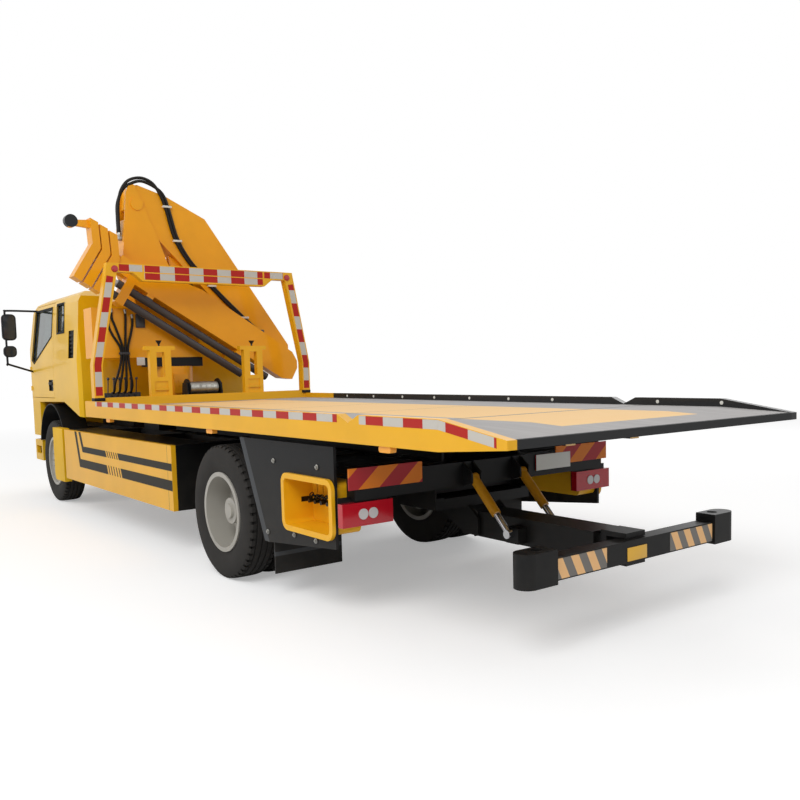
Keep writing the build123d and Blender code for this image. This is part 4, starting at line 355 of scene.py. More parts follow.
def tinted_glass(name, tint):
    """Thin tinted safety glass."""
    material, tree = new_material(name)
    return surfaced(material, add_node(
        tree, "ShaderNodeBsdfPrincipled",
        values={"Base Color": colour(tint), "Roughness": 0.03, "Transmission Weight": 0.85,
                "IOR": 1.5}))


def lamp_lens(name, base, flutes_mm=12.0):
    """Moulded lens with flutes that catch the light."""
    material, tree = new_material(name)
    coords = add_node(tree, "ShaderNodeTexCoord")
    bump = fine_bump(tree, coords, 1000.0 / flutes_mm, 0.5, depth=0.002, cells=True)
    return surfaced(material, add_node(
        tree, "ShaderNodeBsdfPrincipled",
        values={"Base Color": colour(base), "Roughness": 0.12, "IOR": 1.49,
                "Transmission Weight": 0.35, "Coat Weight": 0.6},
        links={"Normal": (bump, "Normal")}))


cab_pane = tinted_glass("tinted_cab_glass", "#7C8A88")
red_lens = lamp_lens("red_lamp_lens", "#C81226")
clear_lens = lamp_lens("clear_lamp_lens", "#D9D9D6", flutes_mm=9.0)

# %% [markdown]
# ## Bands of two colours
# Reflective tape, warning boards and barred plates are all the same idea: two colours that take
# turns along a line. The line is a direction in the object's own coordinates, the period is the
# real length of one piece of each colour, and a honeycomb bump stands for the glass beads. Real
# beads are too fine to show, so the cells are drawn 6 mm wide.


# %% Banded film
def banded_film(name, first, second, direction, period, share, start, zones=()):
    """Film whose two colours take turns along a direction, share of the period in the first."""
    material, tree = new_material(name)
    coords = add_node(tree, "ShaderNodeTexCoord")
    line = Vector(direction).normalized() / period
    along = add_node(tree, "ShaderNodeVectorMath", {"operation": "DOT_PRODUCT"}, {1: line},
                     {0: (coords, "Object")})
    shifted = add_node(tree, "ShaderNodeMath", {"operation": "SUBTRACT"}, {1: start / period},
                       {0: (along, "Value")})
    fraction = add_node(tree, "ShaderNodeMath", {"operation": "FRACT"}, links={0: (shifted, "Value")})
    is_first = add_node(tree, "ShaderNodeMath", {"operation": "LESS_THAN"}, {1: share},
                        {0: (fraction, "Value")})
    shade = add_node(tree, "ShaderNodeMixRGB",
                     values={"Color1": colour(second), "Color2": colour(first)},
                     links={"Fac": (is_first, "Value")})
    printed = lay_over(tree, coords, shade, zones)
    bump = fine_bump(tree, coords, 1000.0 / 6.0, 0.15, depth=0.0005, cells=True)
    return surfaced(material, add_node(
        tree, "ShaderNodeBsdfPrincipled",
        values={"Roughness": 0.4, "Specular IOR Level": 0.25, "Coat Weight": 0.1},
        links={"Normal": (bump, "Normal"), "Base Color": (printed, "Color")}))


tape_red, tape_white = "#B01C12", "#C4BFB6"
rail_tape = banded_film("rail_reflective_tape", tape_red, tape_white, X, 0.342, 0.48, -0.08)
bar_tape = banded_film("arch_bar_tape", tape_red, tape_white, Y, 0.322, 0.5, -0.13)
left_post_tape, right_post_tape = (
    banded_film(f"arch_{word}_post_tape", tape_red, tape_white, Z, 0.30, 0.5, 2.2)
    for word in ("left", "right"))
plate_area = [(X, -3.40, -3.3543), (Y, -0.80, -0.40), (Z, 0.80, 0.94)]
board_film = banded_film("warning_board_film", "#D9771A", "#A3262C", (0, -1, -1.155), 0.200, 0.5,
                         0.045, zones=[(plate_white, plate_area)])
bar_film = banded_film("crossbar_film", "#F0BE84", "#77736E", (0, 1, -0.5), 0.11, 0.5, 0.0)
print("banded films ready")

# %% [markdown]
# ## Dress the CAD nodes
# Where a CAD piece already has the right shape, only its finish is missing. One table gives each
# node its material, by the finish that the real piece has.

# %% Materials for the CAD nodes
finishes = {
    cab_enamel: ["cab_shell", "door_left", "door_right", "front_bumper"],
    body_enamel: ["guard_arch"],
    skirt_enamel: ["side_skirts"],
    basket_enamel: ["chain_baskets"],
    rail_paint_and_painted_shade: ["deck_rails"],
    stand_enamel: ["ladder_stands"],
    fender_enamel: ["front_fenders"],
    guard_enamel: ["rear_mudguards"],
    crane_enamel: ["crane_base", "crane_column", "inner_boom"],
    outer_boom_enamel: ["outer_boom"],
    stage_one_enamel: ["boom_stage_1"],
    stage_two_enamel: ["boom_stage_2"],
    stage_three_enamel: ["boom_stage_3"],
    black_enamel: ["chassis_frame", "front_axle", "rear_axle", "rear_beam", "underlift_mount",
                   "knuckle_left", "knuckle_right", "tilt_frame", "winch_frame", "winch_drum",
                   "lift_boom", "lift_tongue", "crossbar", "fold_barrel", "tilt_barrels",
                   "leaf_springs", "slew_ring"],
    mustard_enamel: ["lift_barrels"],
    piston_chrome: ["lift_rods", "tilt_rods", "fold_rod"],
    rim_enamel: ["front_rim_left", "front_rim_right", "rear_rims_left", "rear_rims_right"],
    tyre_rubber: ["front_tyre_left", "front_tyre_right", "rear_tyres_left", "rear_tyres_right"],
    cast_iron: ["engine_and_shaft"],
    dark_steel: ["valve_bank"],
    moulded_plastic: ["cab_interior", "mirror_left", "mirror_right", "cab_trim"],
    cab_pane: ["cab_glass", "door_glass_left", "door_glass_right"],
    clear_lens: ["headlamps"],
    tail_lamp_mould: ["tail_lamps"],
    board_film: ["marker_boards"],
}


def dress(node, material):
    """Give a CAD node one material."""
    node.data.materials.clear()
    node.data.materials.append(material)


dressed = 0
for material, names in finishes.items():
    for name in names:
        dress(nodes[name], material)
        dressed += 1
print("dressed", dressed, "of", len(nodes), "nodes")

# %% [markdown]
# ## The deck floor
# The deck is steel plate with a grey non-slip coat. Down its middle lies a paler tan band, and dark
# seams mark the sheets. All of it is one flat surface, so a material that reads the object's
# coordinates draws it without any extra mesh.


# %% Deck floor material
def deck_coat():
    """Grey non-slip coat with a pale tan band down the middle, sheet seams and scuffs along the deck."""
    material, tree = new_material("deck_nonslip_coat")
    coords = add_node(tree, "ShaderNodeTexCoord")
    scuffs = add_node(tree, "ShaderNodeMapping", values={"Scale": (0.6, 9.0, 1.0)},
                      links={"Vector": (coords, "Object")})
    worn = add_node(tree, "ShaderNodeTexNoise", values={"Scale": 2.0, "Detail": 8.0},
                    links={"Vector": (scuffs, "Vector")})
    shade = add_node(tree, "ShaderNodeMixRGB",
                     values={"Color1": colour("#8F8C8B"), "Color2": colour("#B5B2B0")},
                     links={"Fac": (worn, "Fac")})
    top = (Z, 1.2497, 1.2503)
    first_seam, sheet_length, half_seam = -3.70, 1.2, 0.006
    seams = [first_seam + sheet_length * index for index in range(1, 5)]
    # A pale tan band runs down the middle of the deck top and over its tail
    areas = [(middle_band_tan, [(Y, -0.56, 0.56), (X, -3.68, 1.0)]),
             (middle_band_tan, [(Y, -0.60, 0.60), (X, -4.30, -3.72)]),
             (middle_band_tan, [(Y, -0.60, 0.60), (X, -4.52, -4.2999), (Z, 1.18, 1.26)])]
    areas += [("#6B6762", [(X, seam - half_seam, seam + half_seam), top]) for seam in seams]
    areas += [("#2B2B2C", [(X, -3.712, -3.694), top]), (black, [(Z, 1.0, 1.2376), (X, -4.29, 1.6)]),
              (black, [(X, -4.80, -4.768)]), (body_yellow, [(Z, 1.2503, 1.40)])]
    lined = lay_over(tree, coords, shade, areas)
    bump = fine_bump(tree, coords, 300.0, 0.3)
    return surfaced(material, add_node(
        tree, "ShaderNodeBsdfPrincipled", values={"Roughness": 0.7},
        links={"Base Color": (lined, "Color"), "Normal": (bump, "Normal")}))


dress(nodes["deck_platform"], deck_coat())

# %% [markdown]
# ## Small tools for new pieces
# Every new piece starts as a bmesh, is shaped by a few operators, and is then written to an object
# that stands at the origin and rides on a CAD body. `bar` and `disc` make the two most common
# machined shapes with their edges broken, and `prism` pulls a flat outline into a plate.


# %% Mesh helpers
both_sides = ((1, "left"), (-1, "right"))


def bar(shape, low, high, edge=0.0, segments=2):
    """Straight bar between two corners with its edges rounded."""
    made = bmesh.ops.create_cube(shape, size=1.0)["verts"]
    size = [max(abs(h - l), 1e-5) for l, h in zip(low, high)]
    bmesh.ops.scale(shape, verts=made, vec=size)
    bmesh.ops.translate(shape, verts=made, vec=[(l + h) / 2 for l, h in zip(low, high)])
    if edge:
        edges = list({e for v in made for e in v.link_edges})
        bmesh.ops.bevel(shape, geom=edges, offset=edge, segments=segments, profile=0.5,
                        affect="EDGES", material=-1)


def break_rims(shape, made, corners, edge, segments):
    """Round the rims of the end faces, which are the faces with so many corners."""
    caps = {f for v in made for f in v.link_faces if len(f.verts) == corners}
    rims = list({e for f in caps for e in f.edges})
    bmesh.ops.bevel(shape, geom=rims, offset=edge, segments=segments, profile=0.5, affect="EDGES",
                    material=-1)


def disc(shape, centre, axis, radius, depth, sides=24, edge=0.0, far_radius=None):
    """Round boss whose middle is at centre, with its rims broken."""
    turn_to = Vector((0, 0, 1)).rotation_difference(Vector(axis)).to_matrix().to_4x4()
    far = radius if far_radius is None else far_radius
    made = bmesh.ops.create_cone(shape, cap_ends=True, segments=sides, radius1=radius, radius2=far,
                                 depth=depth, matrix=Matrix.Translation(centre) @ turn_to)["verts"]
    if edge:
        break_rims(shape, made, sides, edge, 2)


def prism(shape, outline, depth):
    """Plate pulled from a flat outline of points by a depth vector."""
    corners = [shape.verts.new(p) for p in outline]
    face = shape.faces.new(corners)
    pulled = bmesh.ops.extrude_face_region(shape, geom=[face])["geom"]
    moved = [g for g in pulled if isinstance(g, bmesh.types.BMVert)]
    bmesh.ops.translate(shape, verts=moved, vec=depth)
    return corners + moved


def mirrored(shape):
    """Copy everything made so far to the truck's other side."""
    geom = list(shape.verts) + list(shape.edges) + list(shape.faces)
    twin = bmesh.ops.duplicate(shape, geom=geom)["geom"]
    verts = [g for g in twin if isinstance(g, bmesh.types.BMVert)]
    bmesh.ops.scale(shape, verts=verts, vec=(1, -1, 1))


def finish_piece(name, shape, material, body, smooth=35.0):
    """Write a bmesh to a named object that rides on a body."""
    bmesh.ops.recalc_face_normals(shape, faces=shape.faces)
    mesh = bpy.data.meshes.new(name)
    shape.to_mesh(mesh)
    shape.free()
    mesh.materials.append(material)
    mesh.polygons.foreach_set("use_smooth", [True] * len(mesh.polygons))
    mesh.set_sharp_from_angle(angle=radians(smooth))
    piece = bpy.data.objects.new(name, mesh)
    scene.collection.objects.link(piece)
    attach(piece, body)
    print(name, len(mesh.polygons), "faces")
    return piece


# %% [markdown]
# ## Tyres with tread
# A truck tyre is a body of revolution, so half a turn of work makes the whole ring: an outline
# from bead to bead with four grooves is spun about the axle. The blocks are then cut by pressing
# every third face of the outer ribs inwards, much as a tread mould does.


# %% Tread
def treaded_tyre(shape, centre):
    """Ring with rib grooves and blocks about the axle line through centre."""
    # Two of every three faces round the tyre stay as a block, and the third is pressed in
    steps = 150
    crown = [(0.104, 0.5035), (0.078, 0.5078), (0.074, 0.495), (0.066, 0.495), (0.062, 0.5088),
             (0.030, 0.5094), (0.027, 0.496), (0.019, 0.496), (0.016, 0.5095)]
    side = [(0.104, 0.2866), (0.1045, 0.3045), (0.113, 0.325), (0.123, 0.360), (0.127, 0.405),
            (0.126, 0.440), (0.121, 0.470), (0.115, 0.488)]
    half = side + crown
    outline = half + [(-a, r) for a, r in reversed(half)]
    ring = [shape.verts.new((centre[0], centre[1] + a, centre[2] + r)) for a, r in outline]
    edges = [shape.edges.new((ring[i], ring[(i + 1) % len(ring)])) for i in range(len(ring))]
    bmesh.ops.spin(shape, geom=ring + edges, cent=centre, axis=(0, 1, 0), dvec=(0, 0, 0),
                   angle=2 * pi, steps=steps, use_merge=True, use_normal_flip=False,
                   use_duplicate=False)
    pressed = []
    for face in shape.faces:
        middle = face.calc_center_median()
        across = abs(middle.y - centre[1])
        radius = (Vector((middle.x, 0, middle.z)) - Vector((centre[0], 0, centre[2]))).length
        place = atan2(middle.z - centre[2], middle.x - centre[0]) / (2 * pi) * steps
        shift = 1 if middle.y > centre[1] else 0
        if int(round(place + 0.5 + shift)) % 3 == 0 and radius > 0.484 and 0.079 < across < 0.122:
            pressed.append(face)
    pushed = bmesh.ops.extrude_discrete_faces(shape, faces=pressed)["faces"]
    for face in pushed:
        middle = face.calc_center_median()
        inward = Vector((centre[0] - middle.x, 0, centre[2] - middle.z)).normalized() * 0.011
        bmesh.ops.translate(shape, verts=face.verts, vec=inward)


axle_height, front_axle_x, rear_axle_x = 0.5095, 3.605, -1.61
for end, tyre, wheel_x, stations in (("front", "front_tyre", front_axle_x, (0.933,)),
                                     ("rear", "rear_tyres", rear_axle_x, (1.075, 0.785))):
    for side, word in both_sides:
        shape = bmesh.new()
        for wheel_y in stations:
            part = bmesh.new()
            treaded_tyre(part, (wheel_x, side * wheel_y, axle_height))
            bmesh.ops.recalc_face_normals(part, faces=part.faces)
            holder = bpy.data.meshes.new("ring")
            part.to_mesh(holder)
            part.free()
            shape.from_mesh(holder)
            bpy.data.meshes.remove(holder)
        tread = finish_piece(f"tread_{end}_{word}", shape, tyre_rubber, f"{end}_{word}_wheel",
                             smooth=30)
        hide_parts(f"{tyre}_{word}")

# %% [markdown]
# ## Wheel nuts
# Ten nuts hold each wheel, on a circle of 250 mm at the front and of 336 mm at the rear. Each is a
# low cone, a hexagon and the end of its stud, small but easy to see against the silver rim.

# %% Wheel nuts
# distance from the rim's face, two radii, depth, corners and rounding of cone, nut and stud
nut_parts = [(0.010, 0.019, 0.016, 0.020, 16, 0.0), (0.028, 0.015, 0.015, 0.020, 6, 0.002),
             (0.044, 0.009, 0.009, 0.014, 12, 0.002)]
for end, wheel_x, face_y, circle in (("front", front_axle_x, 0.995, 0.125),
                                     ("rear", rear_axle_x, 0.950, 0.168)):
    for side, word in both_sides:
        shape = bmesh.new()
        for index in range(10):
            turn_by = 2 * pi * index / 10
            nut_x = wheel_x + circle * cos(turn_by)
            nut_z = axle_height + circle * sin(turn_by)
            for away, radius, far_radius, depth, corners, edge in nut_parts:
                disc(shape, (nut_x, side * (face_y + away), nut_z), (0, side, 0), radius, depth,
                     sides=corners, edge=edge, far_radius=far_radius)
        finish_piece(f"nuts_{end}_{word}", shape, zinc_steel, f"{end}_{word}_wheel")

# %% [markdown]
# ## Reflective tape
# The law asks for red and white tape along a truck's outline. It is a film a little over half a
# millimetre thick, so each run is a very thin plate laid on its rail, and the banded material
# colours it.

# %% Tape on the deck rails
rail_face_y, skirt_face_y, film_depth = 1.2502, 1.2002, 0.0006


def side_film(shape, face_y, outline):
    """Film on a side face, cut from an (x, z) outline."""
    prism(shape, [(x, face_y, z) for x, z in outline], (0, film_depth, 0))


shape = bmesh.new()
bar(shape, (-3.383, rail_face_y, 1.256), (1.16, rail_face_y + film_depth, 1.302))
side_film(shape, rail_face_y, [(-3.612, 1.300), (-3.612, 1.252), (-4.30, 1.252), (-4.30, 1.300)])
side_film(shape, rail_face_y, [(-4.301, 1.300), (-4.301, 1.252), (-4.72, 1.184), (-4.72, 1.231)])
mirrored(shape)
finish_piece("rail_tape", shape, rail_tape, "deck")

# %% Tape on the guard arch
arch_rear_x = 1.162


def arch_film(shape, outline):
    """Film on the arch's rear face, cut from a (y, z) outline."""
    prism(shape, [(arch_rear_x, y, z) for y, z in outline], (-0.0007, 0, 0))


shape = bmesh.new()
for z_low, z_high in ((2.545, 2.612), (2.622, 2.690)):
    arch_film(shape, [(0.68, z_low), (0.68, z_high), (-0.68, z_high), (-0.68, z_low)])
for side in (1, -1):
    arch_film(shape, [(side * 0.70, 2.622), (side * 0.70, 2.690), (side * 0.94, 2.690),
                      (side * 0.94, 2.622)])
finish_piece("arch_bar_tape", shape, bar_tape, "deck")


def post_tape(side):
    """Tape down one post of the arch, which leans inward above its knee."""
    made = bmesh.new()
    outer = [(1.236, 1.36), (1.236, 1.672), (1.068, 2.57)]
    inner = [(1.168, 1.36), (1.168, 1.664), (1.000, 2.56)]
    for k in (0, 1):
        corners = (outer[k], outer[k + 1], inner[k + 1], inner[k])
        arch_film(made, [(side * y, z) for y, z in corners])
    return made

finish_piece("arch_left_post_tape", post_tape(1), left_post_tape, "deck")
finish_piece("arch_right_post_tape", post_tape(-1), right_post_tape, "deck")

# %% [markdown]
# ## Stripes on the side boxes
# Two dark film stripes run along each side box. They turn up to the top edge at the front, and
# break into slanted lines in the middle. They are cut from flat outlines, as sign film is.

# %% Side box stripes
shape = bmesh.new()
slant, lines = 0.075, 5
# top and bottom of a stripe, its front corner, the break's two ends, and the upturn's top
stripe_rows = [
    (0.806, 0.742, 1.870, 1.066, 0.699, 1.988),
    (0.662, 0.572, 2.000, 1.040, 0.620, 2.140),
]
for z_top, z_low, corner_x, break_front, break_rear, upturn_x in stripe_rows:
    outlines = [
        [(upturn_x, 0.958), (corner_x, z_low), (corner_x - slant, z_low), (upturn_x - slant, 0.958)],
        [(corner_x - slant + 0.03, z_top), (corner_x - slant, z_low), (break_front - 0.02, z_low),
         (break_front + 0.02, z_top)],
        [(break_rear + 0.02, z_top), (break_rear - 0.02, z_low), (-0.680, z_low), (-0.680, z_top)]]
    for index in range(lines):
        x = break_front - (index + 0.7) * (break_front - break_rear) / (lines + 0.4)
        outlines.append([(x + 0.03, z_top), (x - 0.01, z_low), (x - 0.035, z_low), (x + 0.005, z_top)])
    for outline in outlines:
        side_film(shape, skirt_face_y, outline)
mirrored(shape)
finish_piece("side_box_stripes", shape, stripe_film, "chassis")

# %% [markdown]
# ## Tubes along a path
# Hoses, mirror arms and chain links are round bars that follow a line. A few guide points are joined by a
# smooth curve, and a ring of points is carried along it. Each new ring is turned just as much as
# the line itself turns, so the tube never twists.


# %% Tube helper
def smooth_path(points):
    """Points of a smooth curve through the guide points."""
    per_span = 8
    guides = [Vector(p) for p in points]
    guides = [2 * guides[0] - guides[1]] + guides + [2 * guides[-1] - guides[-2]]
    path = []
    for a, b, c, d in zip(guides, guides[1:], guides[2:], guides[3:]):
        for step in range(per_span):
            t = step / per_span
            path.append(0.5 * (2 * b + (c - a) * t + (2 * a - 5 * b + 4 * c - d) * t * t
                               + (3 * b - a - 3 * c + d) * t ** 3))
    path.append(guides[-2])
    return path


def tube(shape, path, radius, sides=12):
    """Round tube along a path, closed at both ends."""
    rings = []
    heading = (path[1] - path[0]).normalized()
    across = heading.orthogonal().normalized()
    for index, point in enumerate(path):
        near, far = path[max(index - 1, 0)], path[min(index + 1, len(path) - 1)]
        new_heading = (far - near).normalized()
        across = heading.rotation_difference(new_heading) @ across
        heading = new_heading
        upward = heading.cross(across)
        ring = [shape.verts.new(point + radius * (across * cos(2 * pi * k / sides)
                                                  + upward * sin(2 * pi * k / sides)))
                for k in range(sides)]
        rings.append(ring)
    for first_ring, second_ring in zip(rings, rings[1:]):
        for k in range(sides):
            after = (k + 1) % sides
            shape.faces.new((first_ring[k], first_ring[after], second_ring[after], second_ring[k]))
    shape.faces.new(list(reversed(rings[0])))
    shape.faces.new(rings[-1])


# %% [markdown]
# ## Window seals
# Glass sits in a rubber profile that covers its edge. The ring is drawn from the window's outline,
# moved a little inward and outward, and lifted off the sheet metal by the profile's thickness.


# %% Window seals
def offset_outline(points, distance):
    """Move each side of a closed (a, b) outline outward by a distance."""
    middle = Vector((sum(p[0] for p in points), sum(p[1] for p in points))) / len(points)
    moved = []
    for index, point in enumerate(points):
        before = Vector(points[index - 1])
        here = Vector(point)
        after = Vector(points[(index + 1) % len(points)])
        normals = []
        for start, end in ((before, here), (here, after)):
            normal = Vector((end.y - start.y, start.x - end.x)).normalized()
            if normal.dot((start + end) / 2 - middle) < 0:
                normal = -normal
            normals.append(normal)
        bisector = (normals[0] + normals[1]).normalized()
        reach = distance / max(bisector.dot(normals[0]), 0.3)
        moved.append(here + bisector * reach)
    return moved


def seal_ring(shape, points, place, outward):
    """Flat rubber ring round an outline; place turns an (a, b) point into space."""
    # The profile is 4 mm high, and reaches from 5 mm inside the outline to 17 mm outside it
    loops = []
    for lift in (0.0006, 0.004):
        for distance in (-0.005, 0.017):
            loops.append([shape.verts.new(Vector(place(p)) + Vector(outward) * lift)
                          for p in offset_outline(points, distance)])
    count = len(points)
    for first_loop, second_loop in ((0, 1), (1, 3), (3, 2), (2, 0)):
        for k in range(count):
            after = (k + 1) % count
            shape.faces.new((loops[first_loop][k], loops[first_loop][after],
                             loops[second_loop][after], loops[second_loop][k]))


belt_y, belt_z = 1.050, 1.750
screen_foot_x, screen_foot_z, screen_lean = 4.742, 1.560, 0.3614


def side_place(side):
    """Points on the cab's side, which leans inward above the belt line."""
    return lambda p: (p[0], side * (belt_y - side_lean * max(p[1] - belt_z, 0.0)), p[1])


def front_place(p):
    """Points on the leaning windscreen."""
    return (screen_foot_x - screen_lean * (p[1] - screen_foot_z), p[0], p[1])


# %% Seals of the cab's windows
screen_outward = (0.94, 0, 0.34)
door_pane = [(3.540, 2.070), (4.370, 1.752), (4.482, 1.800), (4.320, 2.410), (3.510, 2.410)]
quarter_pane = [(2.975, 2.095), (3.285, 2.095), (3.285, 2.430), (3.000, 2.430)]
screen_pane = [(-0.900, 1.640), (0.900, 1.640), (0.850, 2.360), (-0.850, 2.360)]
for side, word in both_sides:
    shape = bmesh.new()
    seal_ring(shape, door_pane, side_place(side), (0, side, 0))
    finish_piece(f"door_seal_{word}", shape, seal_rubber, f"{word}_door")
shape = bmesh.new()
for side in (1, -1):
    seal_ring(shape, quarter_pane, side_place(side), (0, side, 0))
seal_ring(shape, screen_pane, front_place, screen_outward)
finish_piece("cab_window_seals", shape, seal_rubber, "cab")

# %% [markdown]
# ## Cab fittings
# Wipers, door handles and mirrors are what makes a cab look real from a step away. Each mirror is
# a soft-edged black housing on a bent tube, with a dark glass on its rear side.

# %% Door handles and mirrors
def rounded_plate(shape, x_low, x_high, side, y_near, y_far, z_low, z_high, corner, edge=0.0):
    """Plate along X with round corners, on one side of the truck."""
    outline = []
    for y, z, start in ((y_far - corner, z_high - corner, 0), (y_near + corner, z_high - corner, 90),
                        (y_near + corner, z_low + corner, 180), (y_far - corner, z_low + corner, 270)):
        for step in range(7):
            angle = radians(start + 15 * step)
            outline.append((x_low, side * (y + corner * cos(angle)), z + corner * sin(angle)))
    made = prism(shape, outline, (x_high - x_low, 0, 0))
    if edge:
        break_rims(shape, made, len(outline), edge, 3)


# y near and far from the cab, z low and high
mirror_heads = [(1.275, 1.445, 2.045, 2.380), (1.285, 1.440, 1.830, 1.975)]
glass_inset = 0.016
for side, word in both_sides:
    shape = bmesh.new()
    low, high = sorted((side * 1.0300, side * 1.0585))
    bar(shape, (3.508, low, 1.464), (3.692, high, 1.502), edge=0.008, segments=3)
    disc(shape, (3.600, side * 1.0290, 1.425), (0, side, 0), 0.014, 0.006, edge=0.001)
    finish_piece(f"door_handle_{word}", shape, moulded_plastic, f"{word}_door")

    shape = bmesh.new()
    tube(shape, smooth_path([(4.28, side * 0.985, 2.425), (4.25, side * 1.20, 2.425),
                             (4.24, side * 1.385, 2.422), (4.24, side * 1.400, 2.400),
                             (4.24, side * 1.400, 2.10), (4.24, side * 1.400, 1.76),
                             (4.245, side * 1.392, 1.742), (4.35, side * 1.22, 1.69),
                             (4.465, side * 1.050, 1.642)]), 0.013)
    for y_near, y_far, z_low, z_high in mirror_heads:
        rounded_plate(shape, 4.212, 4.268, side, y_near, y_far, z_low, z_high, 0.055, edge=0.012)
    mirror = finish_piece(f"mirror_housing_{word}", shape, moulded_plastic, f"{word}_door",
                          smooth=50)
    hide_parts(f"mirror_{word}")
    shape = bmesh.new()
    for y_near, y_far, z_low, z_high in mirror_heads:
        rounded_plate(shape, 4.2090, 4.2125, side, y_near + glass_inset, y_far - glass_inset,
                      z_low + glass_inset, z_high - glass_inset, 0.040)
    finish_piece(f"mirror_glass_{word}", shape, mirror_glass, f"{word}_door")

# %% Wipers
shape = bmesh.new()
for pivot_y in (0.62, -0.12):
    foot = Vector(front_place((pivot_y, 1.615))) + Vector((0.022, 0, 0.006))
    head = Vector(front_place((pivot_y - 0.33, 1.96))) + Vector((0.024, 0, 0.008))
    disc(shape, foot, screen_outward, 0.020, 0.030, edge=0.003)
    tube(shape, [foot, (foot + head) / 2 + Vector((0.008, 0, 0.003)), head], 0.007, sides=8)
    blade_low = Vector(front_place((pivot_y - 0.50, 1.70))) + Vector((0.014, 0, 0.005))
    blade_high = Vector(front_place((pivot_y - 0.20, 2.19))) + Vector((0.014, 0, 0.005))
    tube(shape, [blade_low, head - Vector((0.009, 0, 0.003)), blade_high], 0.009, sides=6)
finish_piece("wipers", shape, moulded_plastic, "cab")

# %% [markdown]
# ## Hoses of the crane
# Oil reaches the booms through rubber hoses. One pair comes up the column's head, loops over the
# top hinge with slack for its turn, and runs down the inner boom under white clips. Each hose has
# its real size, and its path bends between the column and the first boom.

# %% Crane hoses
def free_hose(name, run, radius, near_body):
    """Rubber hose along a path between two bodies, freed from its body with its place baked into its
    mesh.
    """
    made = bmesh.new()
    tube(made, run, radius)
    hose = finish_piece(name, made, hose_rubber, near_body, smooth=60)
    hose.parent = None
    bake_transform(hose)


for index, shift in enumerate((0.0, 0.035)):
    loop = [(1.805 + shift, 0.700, 3.10), (1.800 + shift, 0.704, 3.28), (1.780 + shift, 0.702, 3.43),
            (1.752 + shift / 2, 0.672 - shift / 2, 3.570), (1.742, 0.590 - shift / 2, 3.675 - shift),
            (1.742, 0.455, 3.715 - shift), (1.742, 0.330 - shift / 2, 3.672 - shift),
            (1.742, 0.250 - shift, 3.560), (1.742, 0.193 - shift, 3.414), (1.742, 0.108 - shift, 3.10),
            (1.742, -0.020 - shift, 2.87), (1.742, -0.200 - shift, 2.67), (1.742, -0.40 - shift, 2.47),
            (1.742, -0.64 - shift, 2.25), (1.742, -0.86 - shift, 2.06)]
    free_hose(f"boom_hose_{index + 1}", smooth_path(loop), 0.0165, "column")
shape = bmesh.new()
for fitting_x in (1.805, 1.840):
    disc(shape, (fitting_x, 0.700, 3.085), (0, 0, 1), 0.0172, 0.060, sides=16, edge=0.002)
bar(shape, (1.784, 0.655, 3.035), (1.861, 0.722, 3.070), edge=0.004)
finish_piece("boom_hose_head_fittings", shape, zinc_steel, "column")
shape = bmesh.new()
bar(shape, (1.7235, -0.965, 2.000), (1.7625, -0.835, 2.072), edge=0.004)
finish_piece("boom_hose_end_block", shape, dark_steel, "first_boom")
shape = bmesh.new()
for y, z in ((0.175, 3.43), (0.072, 3.06), (-0.32, 2.575), (-0.72, 2.215)):
    bar(shape, (1.7235, y - 0.050, z - 0.012), (1.7625, y + 0.050, z + 0.012), edge=0.004)
finish_piece("hose_clips", shape, clip_plastic, "first_boom")

# %% [markdown]
# ## Hoses from the column to the valve block
# These four hoses are free between two fittings. They hang straight down close to the column, pass a
# clamp, and bend into the block with a radius of about four diameters.

# %% Valve hoses
hose_radius, hose_x = 0.013, 1.7195
# y and z of the fitting, y at the clamp, y at the valve block
hose_table = [
    (0.900, 2.18, 0.784, 0.860),
    (0.860, 2.26, 0.756, 0.800),
    (0.712, 2.25, 0.728, 0.735),
    (0.640, 2.20, 0.700, 0.672),
]
fittings = bmesh.new()
for index, (top_y, top_z, clamp_y, low_y) in enumerate(hose_table):
    disc(fittings, (1.7280, top_y, top_z + 0.012), (1, 0, 0), 0.017, 0.016, sides=6, edge=0.002)
    disc(fittings, (hose_x, top_y, top_z + 0.004), (0, 0, 1), 0.0138, 0.045, sides=16, edge=0.002)
    run = smooth_path([(hose_x, top_y, top_z), (hose_x, top_y, top_z - 0.08),
                       (hose_x, (2 * top_y + clamp_y) / 3, top_z - 0.18),
                       (hose_x, clamp_y, 1.86), (hose_x, clamp_y, 1.72),
                       (hose_x, (clamp_y + low_y) / 2, 1.58), (1.722, low_y, 1.475),
                       (1.752, low_y, 1.402), (1.800, low_y, 1.371), (1.838, low_y, 1.368)])
    free_hose(f"valve_hose_{index + 1}", run, hose_radius, "column")
finish_piece("column_hose_fittings", fittings, zinc_steel, "column")
shape = bmesh.new()
bar(shape, (1.7063, 0.684, 1.786), (1.7345, 0.800, 1.812), edge=0.003)
bar(shape, (1.7090, 0.500, 2.080), (1.7355, 0.600, 2.230), edge=0.006, segments=3)
finish_piece("column_control_box", shape, dark_steel, "column")
shape = bmesh.new()
bar(shape, (1.7325, 0.515, 1.668), (1.7362, 0.605, 1.756), edge=0.001)
finish_piece("blank_white_plate", shape, white_plate, "column")

# %% [markdown]
# ## Fittings at the rear
# Reflectors on the crossbar, bolts on the mudguards and buttons on the deck rails are small, but
# they tell the eye how large the truck is.

# %% Rear and deck fittings
shape = bmesh.new()
bar(shape, (-4.5612, 0.300, 0.454), (-4.5602, 0.690, 0.562))
bar(shape, (-4.5612, -0.690, 0.454), (-4.5602, -0.265, 0.562))
finish_piece("crossbar_reflectors", shape, bar_film, "cross_bar")
shape = bmesh.new()
bar(shape, (-4.5640, -0.045, 0.456), (-4.5598, 0.125, 0.532), edge=0.001)
finish_piece("crossbar_yellow_plate", shape, yellow_film, "cross_bar")

